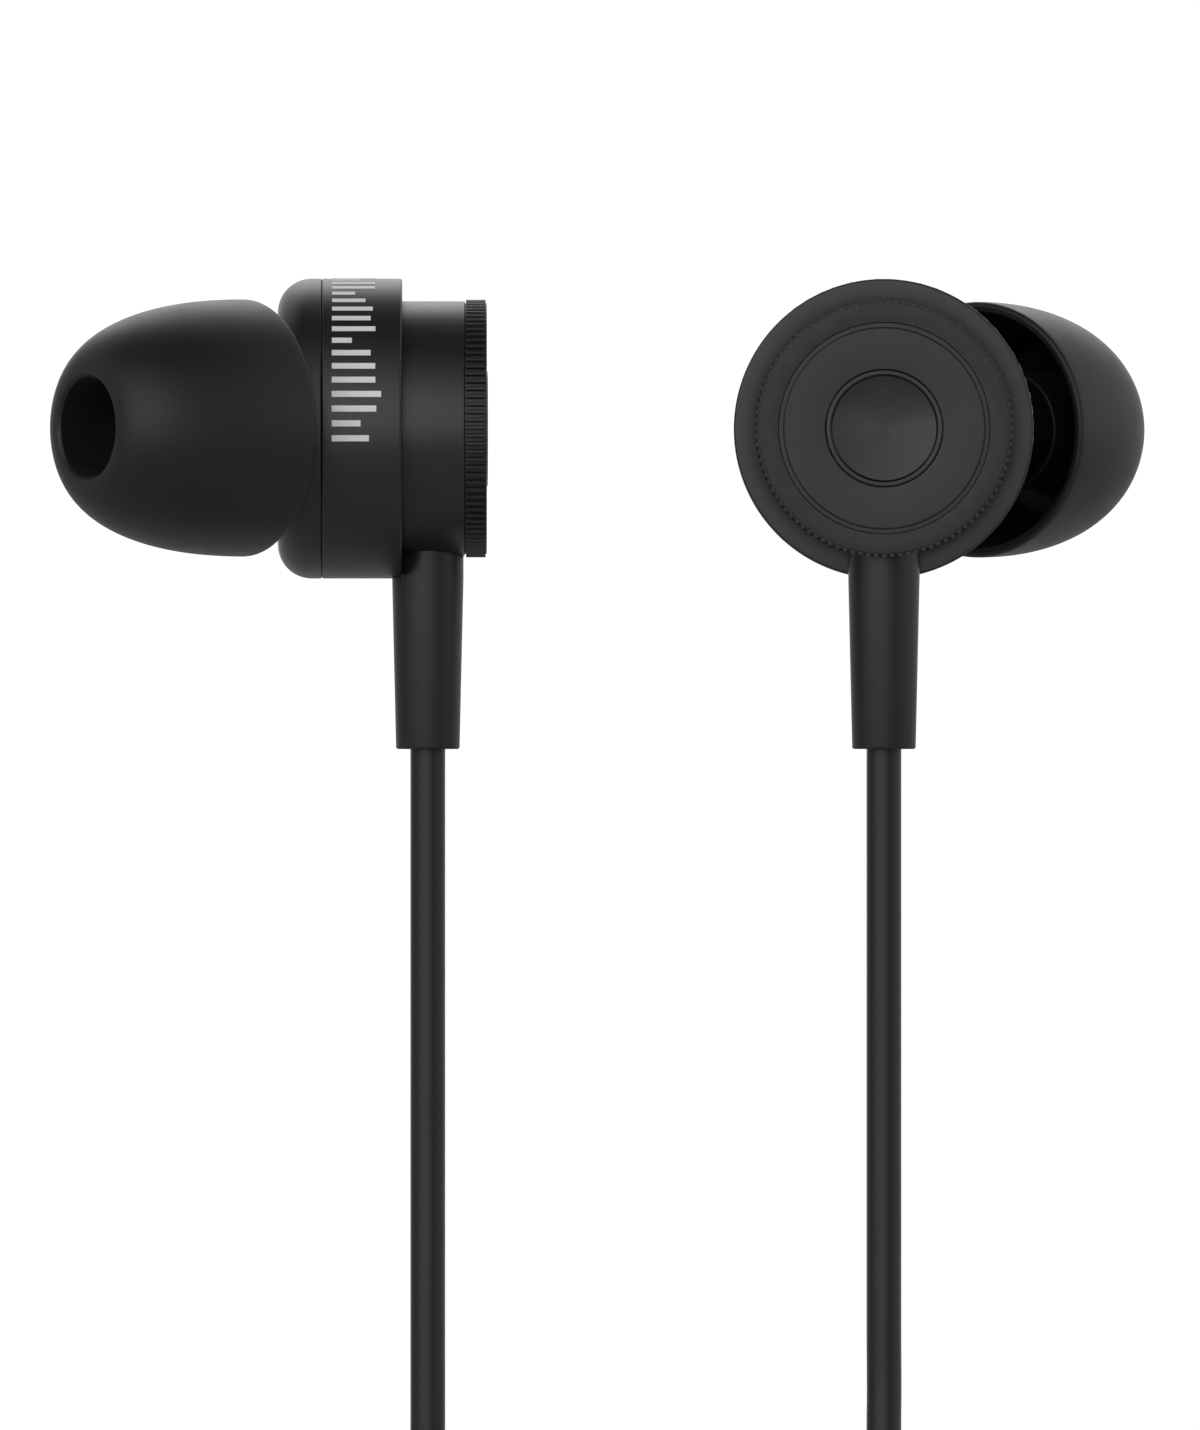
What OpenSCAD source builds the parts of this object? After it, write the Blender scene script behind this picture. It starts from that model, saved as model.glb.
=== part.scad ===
// Wired in-ear earphones: two angled earpieces, their silicone tips, and a tied cable with a 3.5 mm plug.
// The pair hangs as it is worn. X runs between the earpieces, Z is up, and both cables drop along -Z.
// Each earpiece is drawn along its own body axis, +X towards the ear, then turned into place.

/* [Pair] */
// Distance between the two cable axes
ear_gap = 22.2; // [18:0.1:40]

/* [Housing] */
// Outer radius of the rear barrel
barrel_r = 6.2; // [5.1:0.05:7.5]
// Wall of the rear barrel
barrel_wall = 0.8; // [0.6:0.05:1]
// How far the middle shell stands out past the barrel
shell_step = 1.1; // [0.9:0.05:1.5]
// Length of the barrel that shows behind the middle shell
barrel_show = 3.05; // [3:0.05:4]
// Distance from the cable axis to the middle shell's rear face
shell_rear = 1.25; // [1.2:0.05:1.8]
// Length of the middle shell
shell_len = 3.9; // [3.8:0.05:5]
// Length of the nose shell in front of the seam
nose_len = 2.15; // [2:0.05:3]
// Rounding of the nose shell's front corner
nose_round = 1.65; // [1:0.05:1.9]
// Wall of the nose shell
nose_wall = 0.9; // [0.7:0.05:1.2]
// Depth of the spigot that the nose shell pushes into the middle shell
nose_spigot = 0.9; // [0.6:0.05:1.1]

/* [Back cap] */
// Length of the knurled ring
knurl_len = 1.07; // [0.9:0.01:1.6]
// How far the knurled ring stands out past the barrel
knurl_proud = 0.07; // [0.02:0.01:0.3]
// Depth of the knurl's grooves
knurl_depth = 0.16; // [0.08:0.01:0.25]
// Number of teeth round the ring
knurl_teeth = 100; // [60:1:120]
// Width of the knurled ring's rear face
knurl_face = 1.05; // [0.9:0.05:1.4]
// Width of the sunk line round the cap
cap_groove_w = 0.28; // [0.2:0.02:0.5]
// Depth of the sunk line round the cap
cap_groove_h = 0.08; // [0.06:0.01:0.15]
// Thickness of the cap's face
cap_face = 0.95; // [0.8:0.05:1.05]
// Radius of the round badge
badge_r = 2.85; // [2:0.05:3.2]
// Depth that the badge sinks into the cap
badge_sink = 0.45; // [0.4:0.05:0.6]
// Depth of the badge's dish at its middle
badge_dish = 0.3; // [0.1:0.02:0.3]

/* [Nozzle] */
// Angle between the body axis and the nozzle
nozzle_tilt = 34; // [20:1:38]
// Where the nozzle's axis meets the body axis
nozzle_root = 2.1; // [1.5:0.05:2.6]
// Radius of the collar that the ear tip seats against
collar_r = 2.9; // [2.75:0.05:3]
// Radius of the tube in front of the collar
tube_r = 2.1; // [1.9:0.05:2.25]
// Radius of the sound bore
sound_r = 1.55; // [1.2:0.05:1.6]
// Length of the tube in front of the collar
tube_len = 2.8; // [2.4:0.1:3.4]
// How far the retaining lip stands out from the tube
lip_rise = 0.32; // [0.25:0.01:0.36]
// Length of the retaining lip
lip_len = 0.8; // [0.6:0.05:1]

/* [Ear tip] */
// Radius of the tip's open rim
tip_r = 6.25; // [5.2:0.05:7.6]
// Length from the rim to the front
tip_len = 9.35; // [7.7:0.05:11.5]
// Radius at which the dome turns into the sound hole
tip_front_r = 2.7; // [2.66:0.02:3.2]
// Gap between the tip's rim and the housing's corner
rim_gap = 0.3; // [0.2:0.05:1]
// Thickness of the skirt
skirt_wall = 0.5; // [0.4:0.05:0.7]
// Wall of the core tube
core_wall = 0.45; // [0.35:0.05:0.6]
// Distance from the rim back to the core tube's end
core_set_back = 2.7; // [2.2:0.1:3.4]
// Radial clearance of the core tube over the retaining lip
tip_fit = 0.05; // [0.02:0.01:0.09]
// Thickness of solid silicone behind the front
tip_front_wall = 1.6; // [1.2:0.1:2]

/* [Driver] */
// Radius of the yoke
yoke_r = 3.6; // [3:0.05:3.7]
// Wall of the yoke
yoke_wall = 0.6; // [0.4:0.05:0.7]
// Gap between the magnet and the yoke's wall, where the voice coil moves
magnet_gap = 0.8; // [0.7:0.05:1.2]
// Thickness of the magnet
magnet_h = 0.9; // [0.7:0.05:1]
// Thickness of the pole plate
plate_h = 0.4; // [0.3:0.05:0.5]
// Wall of the voice coil
coil_wall = 0.2; // [0.12:0.01:0.22]
// Height of the voice coil
coil_h = 1.05; // [0.8:0.05:1.1]
// Thickness of the diaphragm
diaphragm_wall = 0.12; // [0.1:0.01:0.14]
// Radius of the centre vent through plate, magnet and yoke
vent_r = 0.6; // [0.4:0.05:0.8]
// Number of vents round the basket
basket_vents = 6; // [4:1:8]

/* [Cable] */
// Radius of each earpiece's cable
branch_r = 0.85; // [0.7:0.01:0.95]
// Radius of the main cable
main_r = 1; // [0.85:0.05:1.2]
// Length of the strain relief below the barrel
relief_len = 9.4; // [8:0.1:12]
// Radius of the strain relief at the housing
relief_top_r = 1.74; // [1.6:0.02:1.78]
// Radius of the strain relief at its lower end
relief_low_r = 1.55; // [1.3:0.05:1.6]
// Radius of the strain relief's neck through the barrel
relief_neck_r = 1.25; // [1.1:0.05:1.4]

/* [Stored cable] */
// Height of the straight runs of the folded cable
hank_run = 44; // [40:1:50]
// Height of the centre of the top fold, below the body axis
hank_top = 70; // [68:1:75]
// Radius of the outer layer's folds, at the middle of the cable
fold_r = 8; // [7.5:0.1:9]
// How far each side is drawn in at the waist
waist_in = 4.9; // [4:0.1:5]
// Height of the tie
tie_h = 4; // [3:0.5:5]
// Thickness of the tie
tie_wall = 0.7; // [0.5:0.1:1]
// Length of the cable splitter
split_len = 11; // [9:0.5:13]
// Thickness of the cable splitter
split_h = 3.4; // [3:0.1:3.6]
// Width of the cable splitter
split_w = 4.8; // [4.4:0.1:5]

/* [Plug] */
// Radius of the plug's contacts
plug_r = 1.75; // [1.7:0.05:1.8]
// Length of the contacts in front of the grip
plug_len = 14; // [13:0.5:15]
// Radius of the plug's grip
grip_r = 2.8; // [2.4:0.1:2.9]
// Length of the plug's grip
grip_len = 15; // [12:0.5:20]
// Length of the plug's strain relief
plug_relief_len = 8; // [6:0.5:12]

/* [Hidden] */

$fn = 96;

// Clearances and small reliefs
seat_gap = 0.02;
touch_gap = 0.01;
drop_gap = 0.05;
edge = 0.08;

// Along the body axis
body_r = barrel_r + shell_step;
bore_r = barrel_r + seat_gap;
shell_front = shell_rear + shell_len;
nose_front = shell_front + nose_len;
barrel_back = shell_rear - barrel_show;
ring_back = barrel_back - knurl_len;
ring_bore = barrel_r - knurl_face;
barrel_in = barrel_r - barrel_wall;
spigot_end = shell_front - nose_spigot;
driver_h = 1.1;
driver_seat = spigot_end - drop_gap - driver_h;
cap_in = ring_back + cap_face;
cap_lip = 0.5;

// Along the nozzle's axis, counted from where it meets the body axis
corner_reach = (nose_front - nose_round - nozzle_root) * cos(nozzle_tilt)
    + (body_r - nose_round) * sin(nozzle_tilt) + nose_round;
rim_s = corner_reach + rim_gap;
core_s = rim_s + core_set_back;
collar_s = core_s - 0.1;
lip_s = collar_s + tube_len;
lip_r = tube_r + lip_rise;
core_r = lip_r + tip_fit;
screen_h = 0.15;
screen_r = sound_r + 0.3;

// Driver, counted back from its seat
basket_h = 0.65;
cover_back = driver_seat + basket_h;
driver_r = bore_r - drop_gap;
web_h = 0.5;
cone_base = driver_seat + 0.3;
gap_front = driver_seat - 0.2;
plate_back = gap_front - plate_h;
magnet_back = plate_back - magnet_h;
yoke_back = magnet_back - 0.5;
magnet_r = yoke_r - yoke_wall - magnet_gap;
plate_r = magnet_r + 0.1;
coil_in = plate_r + 0.2;
coil_out = coil_in + coil_wall;
hub_r = yoke_r + 0.5;
rear_r = barrel_in - 0.1;
web_back = driver_seat - web_h;
cone_r = driver_r - 1.4;

// Cable and strain relief
relief_end = barrel_r + relief_len;
cable_bore = branch_r + drop_gap;
relief_foot_r = relief_neck_r + 0.25;
stop_r = branch_r + 0.2;
stop_low = barrel_in - 0.4;
stop_top = stop_low - 0.8;
cable_start = stop_top - 0.2;
ear_x = ear_gap / 2;
wire_r = 0.12;
wire_y = 0.9;

// The folded cable: layers, slots and heights
hank_low = hank_top + hank_run;
ease_h = 12;
branch_front = -8.1;
branch_back = -0.5;
main_front = 0.1;
main_back = 8.5;
layer = 2 * main_r;
split_y = -2.3;
split_low = 94;
tie_low = 100.5;
plug_y = branch_front - grip_r - 0.3;
plug_top = 118;

// Plug, counted down from its strain relief
plug_face = plug_relief_len + grip_len;
tip_part = 3.6;
ring_part = 1.9;
gap_part = 0.7;
core_pin_r = 0.5;
ring_tube_r = 1;
plug_root = 0.25;
fin_count = 4;
fin_h = 0.7;

// Routes of the loose cable: straight down from each earpiece, then across into the top of the fold
drop_z = [-8, -12, -16, -20, -24, -28, -32, -36, -40, -44, -48];
left_lead = [
    [-11.1, 0, -51], [-11, -0.5, -54.5], [-10.5, -1.8, -58], [-9.8, -3.3, -61.5],
    [-9, -4.5, -65], [-8.3, -5.2, -68], [-8, -5.4, -71]
];
right_lead = [
    [11, -0.2, -51], [10.2, -1, -54], [8, -2.4, -56.4], [4.8, -4.1, -58],
    [1, -5.6, -59.6], [-2.6, -6.6, -61.6], [-5.6, -7.1, -64.2], [-7.4, -7.2, -67.2], [-8, -7.2, -71]
];
tail_route = [
    [-1.1, 1.2, -97], [-1.1, 1.1, -100.5], [-0.9, -0.2, -104], [-0.4, -3, -107],
    [0, -6.6, -109], [0, -9.6, -111.4], [0, -11, -114.6], [0, -11.2, -118]
];

// ---------- placing ----------

module left_ear() {
    translate([-ear_x, 0, 0]) rotate([0, 0, 180]) children();
}

module right_ear() {
    translate([ear_x, 0, 0]) rotate([0, 0, 90]) children();
}

// Turns what is drawn along +Z so that it runs along the body axis
module on_body(a = 0) {
    translate([a, 0, 0]) rotate([0, 90, 0]) children();
}

// Turns what is drawn along +Z so that it runs along the nozzle's axis; side is 1 or -1
module on_nozzle(side, s = 0) {
    translate([nozzle_root, 0, 0]) rotate([0, 0, side * nozzle_tilt]) rotate([0, 90, 0])
        translate([0, 0, s]) children();
}

module ring(outer, inner, low, high) {
    translate([0, 0, low]) difference() {
        cylinder(h = high - low, r = outer);
        translate([0, 0, -1]) cylinder(h = high - low + 2, r = inner);
    }
}

// ---------- curves ----------

function arc(cx, cy, r, from, to, steps) = [
    for (i = [0:steps]) let (turn = from + (to - from) * i / steps) [cx + r * cos(turn), cy + r * sin(turn)]
];

// Radius of the ear tip's dome at distance s from its rim, less an inset
function dome(s, inset = 0) =
    tip_front_r + (tip_r - tip_front_r) * sqrt(max(0, 1 - pow(s / tip_len, 2.3))) - inset;

function unit(v) = v / norm(v);
function ease(x) = let (c = min(1, max(0, x))) c * c * (3 - 2 * c);

// How much of the waist's draw-in applies at height -z
function drawn_in(z) = waist_in * ease((z - hank_top) / ease_h) * ease((hank_low - z) / ease_h);

function hank_outline(r) =
    let (steps = 22)
    let (side = [
        for (i = [0:steps]) let (z = hank_low - hank_run * i / steps) [r - drawn_in(z), -z]
    ])
    concat(
        side,
        [for (p = arc(0, -hank_top, r, 0, 180, 18)) if (abs(p[0]) < r - 0.01) p],
        [for (i = [steps:-1:0]) [-side[i][0], side[i][1]]],
        [for (p = arc(0, -hank_low, r, 180, 360, 18)) if (abs(p[0]) < r - 0.01) p]
    );

// One closed tube along a route, eight sides round, with its end faces square to the route
module cord(route, r) {
    sides = 8;
    last = len(route) - 1;
    along = [for (i = [0:last]) unit(route[min(last, i + 1)] - route[max(0, i - 1)])];
    // Turning the previous ring's frame onto the next direction keeps the tube from twisting
    frames = [
        for (i = 0, u = unit(cross(along[0], [0, 1, 0]));
            i <= last;
            i = i + 1, u = i > last ? u : unit(u - along[i] * (u * along[i])))
            [u, cross(along[i], u)]
    ];
    points = [
        for (i = [0:last]) for (j = [0:sides - 1])
            route[i] + r * (frames[i][0] * cos(360 * j / sides) + frames[i][1] * sin(360 * j / sides))
    ];
    walls = [
        for (i = [0:last - 1]) for (j = [0:sides - 1]) for (half = [0, 1])
            let (a = i * sides + j)
            let (b = i * sides + (j + 1) % sides)
            half == 0 ? [a, b + sides, b] : [a, a + sides, b + sides]
    ];
    low_end = [for (j = [0:sides - 1]) j];
    high_end = [for (j = [sides - 1:-1:0]) last * sides + j];
    polyhedron(points = points, faces = concat([low_end], walls, [high_end]), convexity = 10);
}

// ---------- housing ----------

module nose_shell(side) {
    color("#26272a") difference() {
        on_body() rotate_extrude() polygon(concat(
            [[barrel_in - 0.1, spigot_end], [bore_r - seat_gap, spigot_end]],
            [[bore_r - seat_gap, shell_front]],
            [[body_r - edge, shell_front], [body_r, shell_front + edge]],
            arc(body_r - nose_round, nose_front - nose_round, nose_round, 0, 90, 12),
            [[0, nose_front], [0, nose_front - nose_wall], [barrel_in - 0.1, nose_front - nose_wall]]
        ));
        on_nozzle(side) cylinder(h = 20, r = collar_r + touch_gap);
    }
}

module middle_shell() {
    color("#232427") on_body() rotate_extrude() polygon([
        [bore_r, shell_rear], [body_r - edge, shell_rear], [body_r, shell_rear + edge],
        [body_r, shell_front - edge], [body_r - edge, shell_front], [bore_r, shell_front]
    ]);
}

module rear_barrel() {
    color("#26272a") difference() {
        on_body() ring(barrel_r, barrel_in, barrel_back, driver_seat);
        translate([0, 0, -barrel_r - 1]) cylinder(h = barrel_wall + 3, r = relief_neck_r + touch_gap);
    }
}

module knurled_ring() {
    crest = barrel_r + knurl_proud;
    root = crest - knurl_depth;
    pitch = 360 / knurl_teeth;
    color("#1d1e20") on_body(ring_back) linear_extrude(height = knurl_len) difference() {
        polygon([
            for (i = [0:knurl_teeth - 1]) for (p = [[0.1, root], [0.35, crest], [0.65, crest], [0.9, root]])
                p[1] * [cos((i + p[0]) * pitch), sin((i + p[0]) * pitch)]
        ]);
        circle(r = ring_bore);
    }
}

module back_cap() {
    rim = ring_bore - seat_gap;
    flange = barrel_in - seat_gap;
    color("#3a3b3d") on_body() difference() {
        rotate_extrude() polygon([
            [0, ring_back], [rim - cap_groove_w, ring_back],
            [rim - cap_groove_w + cap_groove_h, ring_back + cap_groove_h], [rim, ring_back + cap_groove_h],
            [rim, barrel_back + touch_gap], [flange, barrel_back + touch_gap],
            [flange, barrel_back + cap_lip],
            [flange - 0.7, barrel_back + cap_lip], [flange - 0.7, cap_in], [0, cap_in]
        ]);
        translate([0, 0, ring_back - 1]) cylinder(h = badge_sink + 1, r = badge_r + seat_gap);
        // Room for the strain relief's foot
        translate([barrel_in - 1, 0, 0]) rotate([0, 90, 0]) cylinder(h = 2, r = relief_foot_r + drop_gap);
    }
}

module badge() {
    rim_w = 0.22;
    proud = 0.05;
    color("#55575a") on_body() rotate_extrude() polygon([
        [0, ring_back + badge_dish],
        [badge_r - rim_w - 0.1, ring_back + 0.06], [badge_r - rim_w, ring_back - proud],
        [badge_r - 0.04, ring_back - proud], [badge_r, ring_back], [badge_r, ring_back + badge_sink],
        [0, ring_back + badge_sink]
    ]);
}

module nozzle(side) {
    cut = nose_front - nose_wall;
    color("#202124") difference() {
        on_nozzle(side) rotate_extrude() polygon([
            [sound_r, 0], [collar_r, 0], [collar_r, collar_s - 0.25], [collar_r - 0.25, collar_s],
            [tube_r, collar_s], [tube_r, lip_s - lip_len], [lip_r, lip_s - lip_len + 0.2],
            [lip_r, lip_s - 0.25], [lip_r - 0.25, lip_s], [screen_r + seat_gap, lip_s],
            [screen_r + seat_gap, lip_s - screen_h], [sound_r, lip_s - screen_h]
        ]);
        translate([cut - 20, -20, -20]) cube([20, 40, 40]);
    }
}

module nozzle_screen(side) {
    hole_r = 0.16;
    pitch = 0.5;
    reach = sound_r - hole_r - 0.05;
    color("silver") on_nozzle(side, lip_s - screen_h) linear_extrude(height = screen_h) difference() {
        circle(r = screen_r);
        for (row = [-3:3]) for (col = [-3:3]) {
            x = pitch * (col + (row % 2 == 0 ? 0 : 0.5));
            y = pitch * row * sin(60);
            if (norm([x, y]) < reach) translate([x, y]) circle(r = hole_r, $fn = 16);
        }
    }
}

// ---------- ear tip ----------

module ear_tip(side) {
    steps = 16;
    skirt_end = tip_len - tip_front_wall;
    core_out = core_r + core_wall;
    cavity = [for (i = [0:12]) let (s = skirt_end * i / 12) [max(core_out + 0.35, dome(s, skirt_wall)), s]];
    color("#1f2022") on_nozzle(side, rim_s) rotate_extrude() polygon(concat(
        [for (i = [0:steps]) let (s = tip_len * sin(90 * i / steps)) [dome(s), s]],
        [[core_r + 0.1, tip_len], [core_r, tip_len - 0.12], [core_r, core_set_back]],
        [[core_out, core_set_back], [core_out, skirt_end - 0.35], [core_out + 0.35, skirt_end]],
        [for (i = [12:-1:0]) cavity[i]]
    ));
}

// ---------- driver ----------

module driver_cover() {
    holes = 6;
    color("#8d8f92") on_body() difference() {
        union() {
            ring(driver_r, cone_r + 0.35, cover_back, driver_seat + driver_h);
            translate([0, 0, driver_seat + driver_h - 0.2]) cylinder(h = 0.2, r = driver_r - 0.5);
        }
        translate([0, 0, cover_back]) cylinder(h = 2, r = 0.7, $fn = 32);
        for (i = [0:holes - 1]) rotate([0, 0, i * 360 / holes])
            translate([cone_r / 2 + 0.4, 0, cover_back]) cylinder(h = 2, r = 0.6, $fn = 32);
    }
}

module driver_basket() {
    color("#d8d4c8") on_body() difference() {
        union() {
            ring(driver_r, cone_r + 0.25, driver_seat, cover_back);
            ring(min(rear_r, driver_r), yoke_r + seat_gap, web_back, driver_seat);
            ring(hub_r, yoke_r + seat_gap, yoke_back + 0.5, driver_seat);
        }
        for (i = [0:basket_vents - 1]) rotate([0, 0, (i + 0.5) * 360 / basket_vents])
            translate([(hub_r + rear_r) / 2, 0, web_back - 1]) cylinder(h = web_h + 2, r = 0.35, $fn = 24);
    }
}

module diaphragm() {
    half = coil_wall / 2 + 0.1;
    mid = (coil_in + coil_out) / 2;
    rise = 0.3;
    back = [[cone_r, cone_base + 0.05], [mid + half, cone_base], [mid - half, cone_base]];
    dome_r = mid - half;
    dome_back = [
        for (i = [1:6]) let (x = dome_r * (1 - i / 6)) [x, cone_base + rise * (1 - pow(x / dome_r, 2))]
    ];
    profile = concat(back, dome_back);
    color("#c9b27a") on_body() rotate_extrude() polygon(concat(
        profile,
        [for (i = [len(profile) - 1:-1:0]) profile[i] + [0, diaphragm_wall]]
    ));
}

module voice_coil() {
    color("#b8733b") on_body() ring(coil_out, coil_in, cone_base - coil_h, cone_base);
}

module pole_plate() {
    color("#9a9c9f") on_body() ring(plate_r, vent_r, plate_back, gap_front);
}

module magnet() {
    color("#b9bcc0") on_body() ring(magnet_r, vent_r, magnet_back, plate_back);
}

module yoke() {
    color("#9a9c9f") on_body() union() {
        ring(yoke_r, yoke_r - yoke_wall, magnet_back, gap_front);
        ring(yoke_r, vent_r, yoke_back, magnet_back);
    }
}

// A flat arc behind the basket's web, from angle low to angle high about the body axis
module web_arc(thick, low, high) {
    far = 3 * rear_r;
    on_body(web_back - thick) linear_extrude(height = thick) intersection() {
        difference() {
            circle(r = rear_r - drop_gap);
            circle(r = hub_r + drop_gap);
        }
        polygon(concat([[0, 0]], arc(0, 0, far, low, high, 6)));
    }
}

module rear_damper() {
    color("#e6e2d6") web_arc(0.2, 45, 315);
}

module terminal_board() {
    pad_r = 0.3;
    color("#2c6b3f") union() {
        web_arc(0.4, -38, 38);
        for (y = [-wire_y, wire_y]) translate([web_back - 0.45, y, -(hub_r + rear_r) / 2])
            rotate([0, 90, 0]) cylinder(h = 0.1, r = pad_r, $fn = 24);
    }
}

module lead_wires() {
    pad_z = (hub_r + rear_r) / 2;
    color("#b8733b") for (y = [-1, 1]) cord([
        [0, y * 0.35, -cable_start + touch_gap],
        [0, y * 0.35, -cable_start + 0.15],
        [0.4, y * 0.5, -cable_start + 0.3],
        [1.2, y * wire_y, -cable_start + 0.15],
        [1.5, y * wire_y, -hub_r - 0.15],
        [web_back - 0.6, y * wire_y, -pad_z],
        [web_back - 0.46, y * wire_y, -pad_z]
    ], wire_r);
}

// ---------- cable ----------

module cable_stop() {
    color("#9a9c9f") ring(stop_r, branch_r + seat_gap, -stop_low, -stop_top);
}

module strain_relief() {
    color("#2a2b2d") difference() {
        union() {
            difference() {
                rotate_extrude() polygon([
                    [0, -relief_end], [relief_low_r - 0.05, -relief_end], [relief_low_r, -relief_end + 0.05],
                    [relief_top_r, -body_r], [relief_top_r, -barrel_r + 1.5], [0, -barrel_r + 1.5]
                ]);
                on_body(-4) cylinder(h = 10, r = barrel_r + touch_gap);
                on_body(shell_rear - touch_gap) cylinder(h = 10, r = body_r + touch_gap);
            }
            translate([0, 0, -barrel_r - 0.3]) cylinder(h = barrel_wall + 0.4, r = relief_neck_r);
            intersection() {
                translate([0, 0, -barrel_in]) cylinder(h = 0.36, r = relief_foot_r);
                on_body(-4) cylinder(h = 10, r = barrel_in - touch_gap);
            }
        }
        translate([0, 0, -relief_end - 1]) cylinder(h = relief_end, r = cable_bore);
    }
}

module left_cable() {
    color("#262729") cord(concat(
        [[-ear_x, 0, -cable_start]],
        [for (z = drop_z) [-ear_x, 0, z]],
        left_lead
    ), branch_r);
}

module right_cable() {
    color("#262729") cord(concat(
        [[ear_x, 0, -cable_start]],
        [for (z = drop_z) [ear_x, 0, z]],
        right_lead
    ), branch_r);
}

// A slab of the folded cable between two depths, hollow inside its innermost layer
module hank_slab(outer, inner, front, back) {
    translate([0, back, 0]) rotate([90, 0, 0]) linear_extrude(height = back - front) difference() {
        polygon(hank_outline(outer));
        polygon(hank_outline(inner));
    }
}

module branch_hank() {
    space = 0.15;
    color("#262729") difference() {
        hank_slab(fold_r + branch_r + drop_gap, fold_r - branch_r - drop_gap, branch_front, branch_back);
        translate([fold_r - waist_in, split_y, split_len / 2 - split_low])
            cube([split_h + 2 * space, split_w + 2 * space, split_len + 2 * space], center = true);
    }
}

module main_hank() {
    color("#232426")
        hank_slab(fold_r + main_r + drop_gap, fold_r - layer - main_r - drop_gap, main_front, main_back);
}

module main_tail() {
    color("#232426") cord(tail_route, main_r);
}

// Four upright corner posts of a box, set in from its sides
module posts(width, depth, inset, low, high) {
    for (x = [-1, 1]) for (y = [-1, 1])
        translate([x * (width / 2 - inset), y * (depth / 2 - inset), low])
            cylinder(h = high - low, r = 0.8, $fn = 32);
}

module cable_splitter() {
    color("#1f2022") translate([fold_r - waist_in, split_y, -split_low]) hull() {
        posts(split_h, split_w, 0.8, 0.4, 0.65 * split_len);
        posts(split_h, split_w, 1.2, 0, 1);
        translate([0, 0, split_len - 1]) cylinder(h = 1, r = main_r + 0.4, $fn = 32);
    }
}

module round_box(x_low, x_high, y_low, y_high, r) {
    translate([x_low + r, y_low]) square([x_high - x_low - 2 * r, y_high - y_low]);
    translate([x_low, y_low + r]) square([x_high - x_low, y_high - y_low - 2 * r]);
    for (x = [x_low + r, x_high - r]) for (y = [y_low + r, y_high - r])
        translate([x, y]) circle(r = r, $fn = 48);
}

module cable_tie() {
    in_x = fold_r - waist_in + main_r + 0.2;
    corner = 0.3;
    front = branch_front - 0.1;
    back = main_back + 0.1;
    color("#141517") translate([0, 0, -tie_low]) linear_extrude(height = tie_h) difference() {
        round_box(-in_x - tie_wall, in_x + tie_wall, front - tie_wall, back + tie_wall, corner + tie_wall);
        round_box(-in_x, in_x, front, back, corner);
    }
}

// ---------- plug ----------

module on_plug() {
    translate([0, plug_y, -plug_top]) rotate([180, 0, 0]) children();
}

module plug_strain_relief() {
    color("#1b1c1e") on_plug() difference() {
        union() {
            cylinder(h = plug_relief_len, r1 = main_r + 0.45, r2 = grip_r - 0.9);
            for (i = [1:fin_count]) translate([0, 0, i * plug_relief_len / (fin_count + 1)])
                cylinder(h = fin_h, r = main_r + 0.7 + 0.16 * i);
        }
        translate([0, 0, -1]) cylinder(h = 3, r = main_r + drop_gap);
    }
}

module plug_grip() {
    color("#242528") on_plug() translate([0, 0, plug_relief_len]) difference() {
        rotate_extrude() polygon([
            [0, 0], [grip_r - 0.4, 0], [grip_r, 0.4],
            [grip_r, grip_len - 0.6], [grip_r - 0.6, grip_len], [0, grip_len]
        ]);
        translate([0, 0, grip_len - 5]) cylinder(h = 6, r = plug_r - plug_root + touch_gap);
    }
}

module plug_sleeve() {
    bore = ring_tube_r + 0.3;
    color("#d9dadb") on_plug() union() {
        ring(plug_r, bore, plug_face, plug_face + plug_len - tip_part - ring_part - 2 * gap_part);
        ring(plug_r - plug_root, bore, plug_face - 5, plug_face);
    }
}

module plug_ring() {
    from = plug_face + plug_len - tip_part - ring_part - gap_part;
    color("#d9dadb") on_plug() union() {
        ring(plug_r, core_pin_r + 0.2, from, from + ring_part);
        ring(ring_tube_r, core_pin_r + 0.2, plug_face - 4.5, from + 0.1);
    }
}

module plug_tip() {
    from = plug_face + plug_len - tip_part;
    color("#d9dadb") on_plug() rotate_extrude() polygon([
        [0, plug_face - 4], [core_pin_r, plug_face - 4],
        [core_pin_r, from], [plug_r, from], [plug_r, from + 0.5],
        [plug_r - 0.5, from + 1.2], [plug_r - 0.05, from + 2], [plug_r - 0.2, from + 2.5],
        [0.5, from + tip_part], [0, from + tip_part]
    ]);
}

module plug_insulators() {
    tip_from = plug_face + plug_len - tip_part;
    ring_from = tip_from - ring_part - gap_part;
    color("#111214") on_plug() union() {
        ring(plug_r, core_pin_r + touch_gap, tip_from - gap_part, tip_from);
        ring(plug_r, ring_tube_r + touch_gap, ring_from - gap_part, ring_from);
    }
}

left_ear() ear_tip(1);  // left_ear_tip
left_ear() nozzle(1);  // left_nozzle
left_ear() nozzle_screen(1);  // left_nozzle_screen
left_ear() nose_shell(1);  // left_nose_shell
left_ear() middle_shell();  // left_middle_shell
left_ear() rear_barrel();  // left_rear_barrel
left_ear() knurled_ring();  // left_knurled_ring
left_ear() back_cap();  // left_back_cap
left_ear() badge();  // left_badge
left_ear() driver_cover();  // left_driver_cover
left_ear() diaphragm();  // left_diaphragm
left_ear() voice_coil();  // left_voice_coil
left_ear() driver_basket();  // left_driver_basket
left_ear() pole_plate();  // left_pole_plate
left_ear() magnet();  // left_magnet
left_ear() yoke();  // left_yoke
left_ear() rear_damper();  // left_rear_damper
left_ear() terminal_board();  // left_terminal_board
left_ear() lead_wires();  // left_lead_wires
left_ear() cable_stop();  // left_cable_stop
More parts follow.
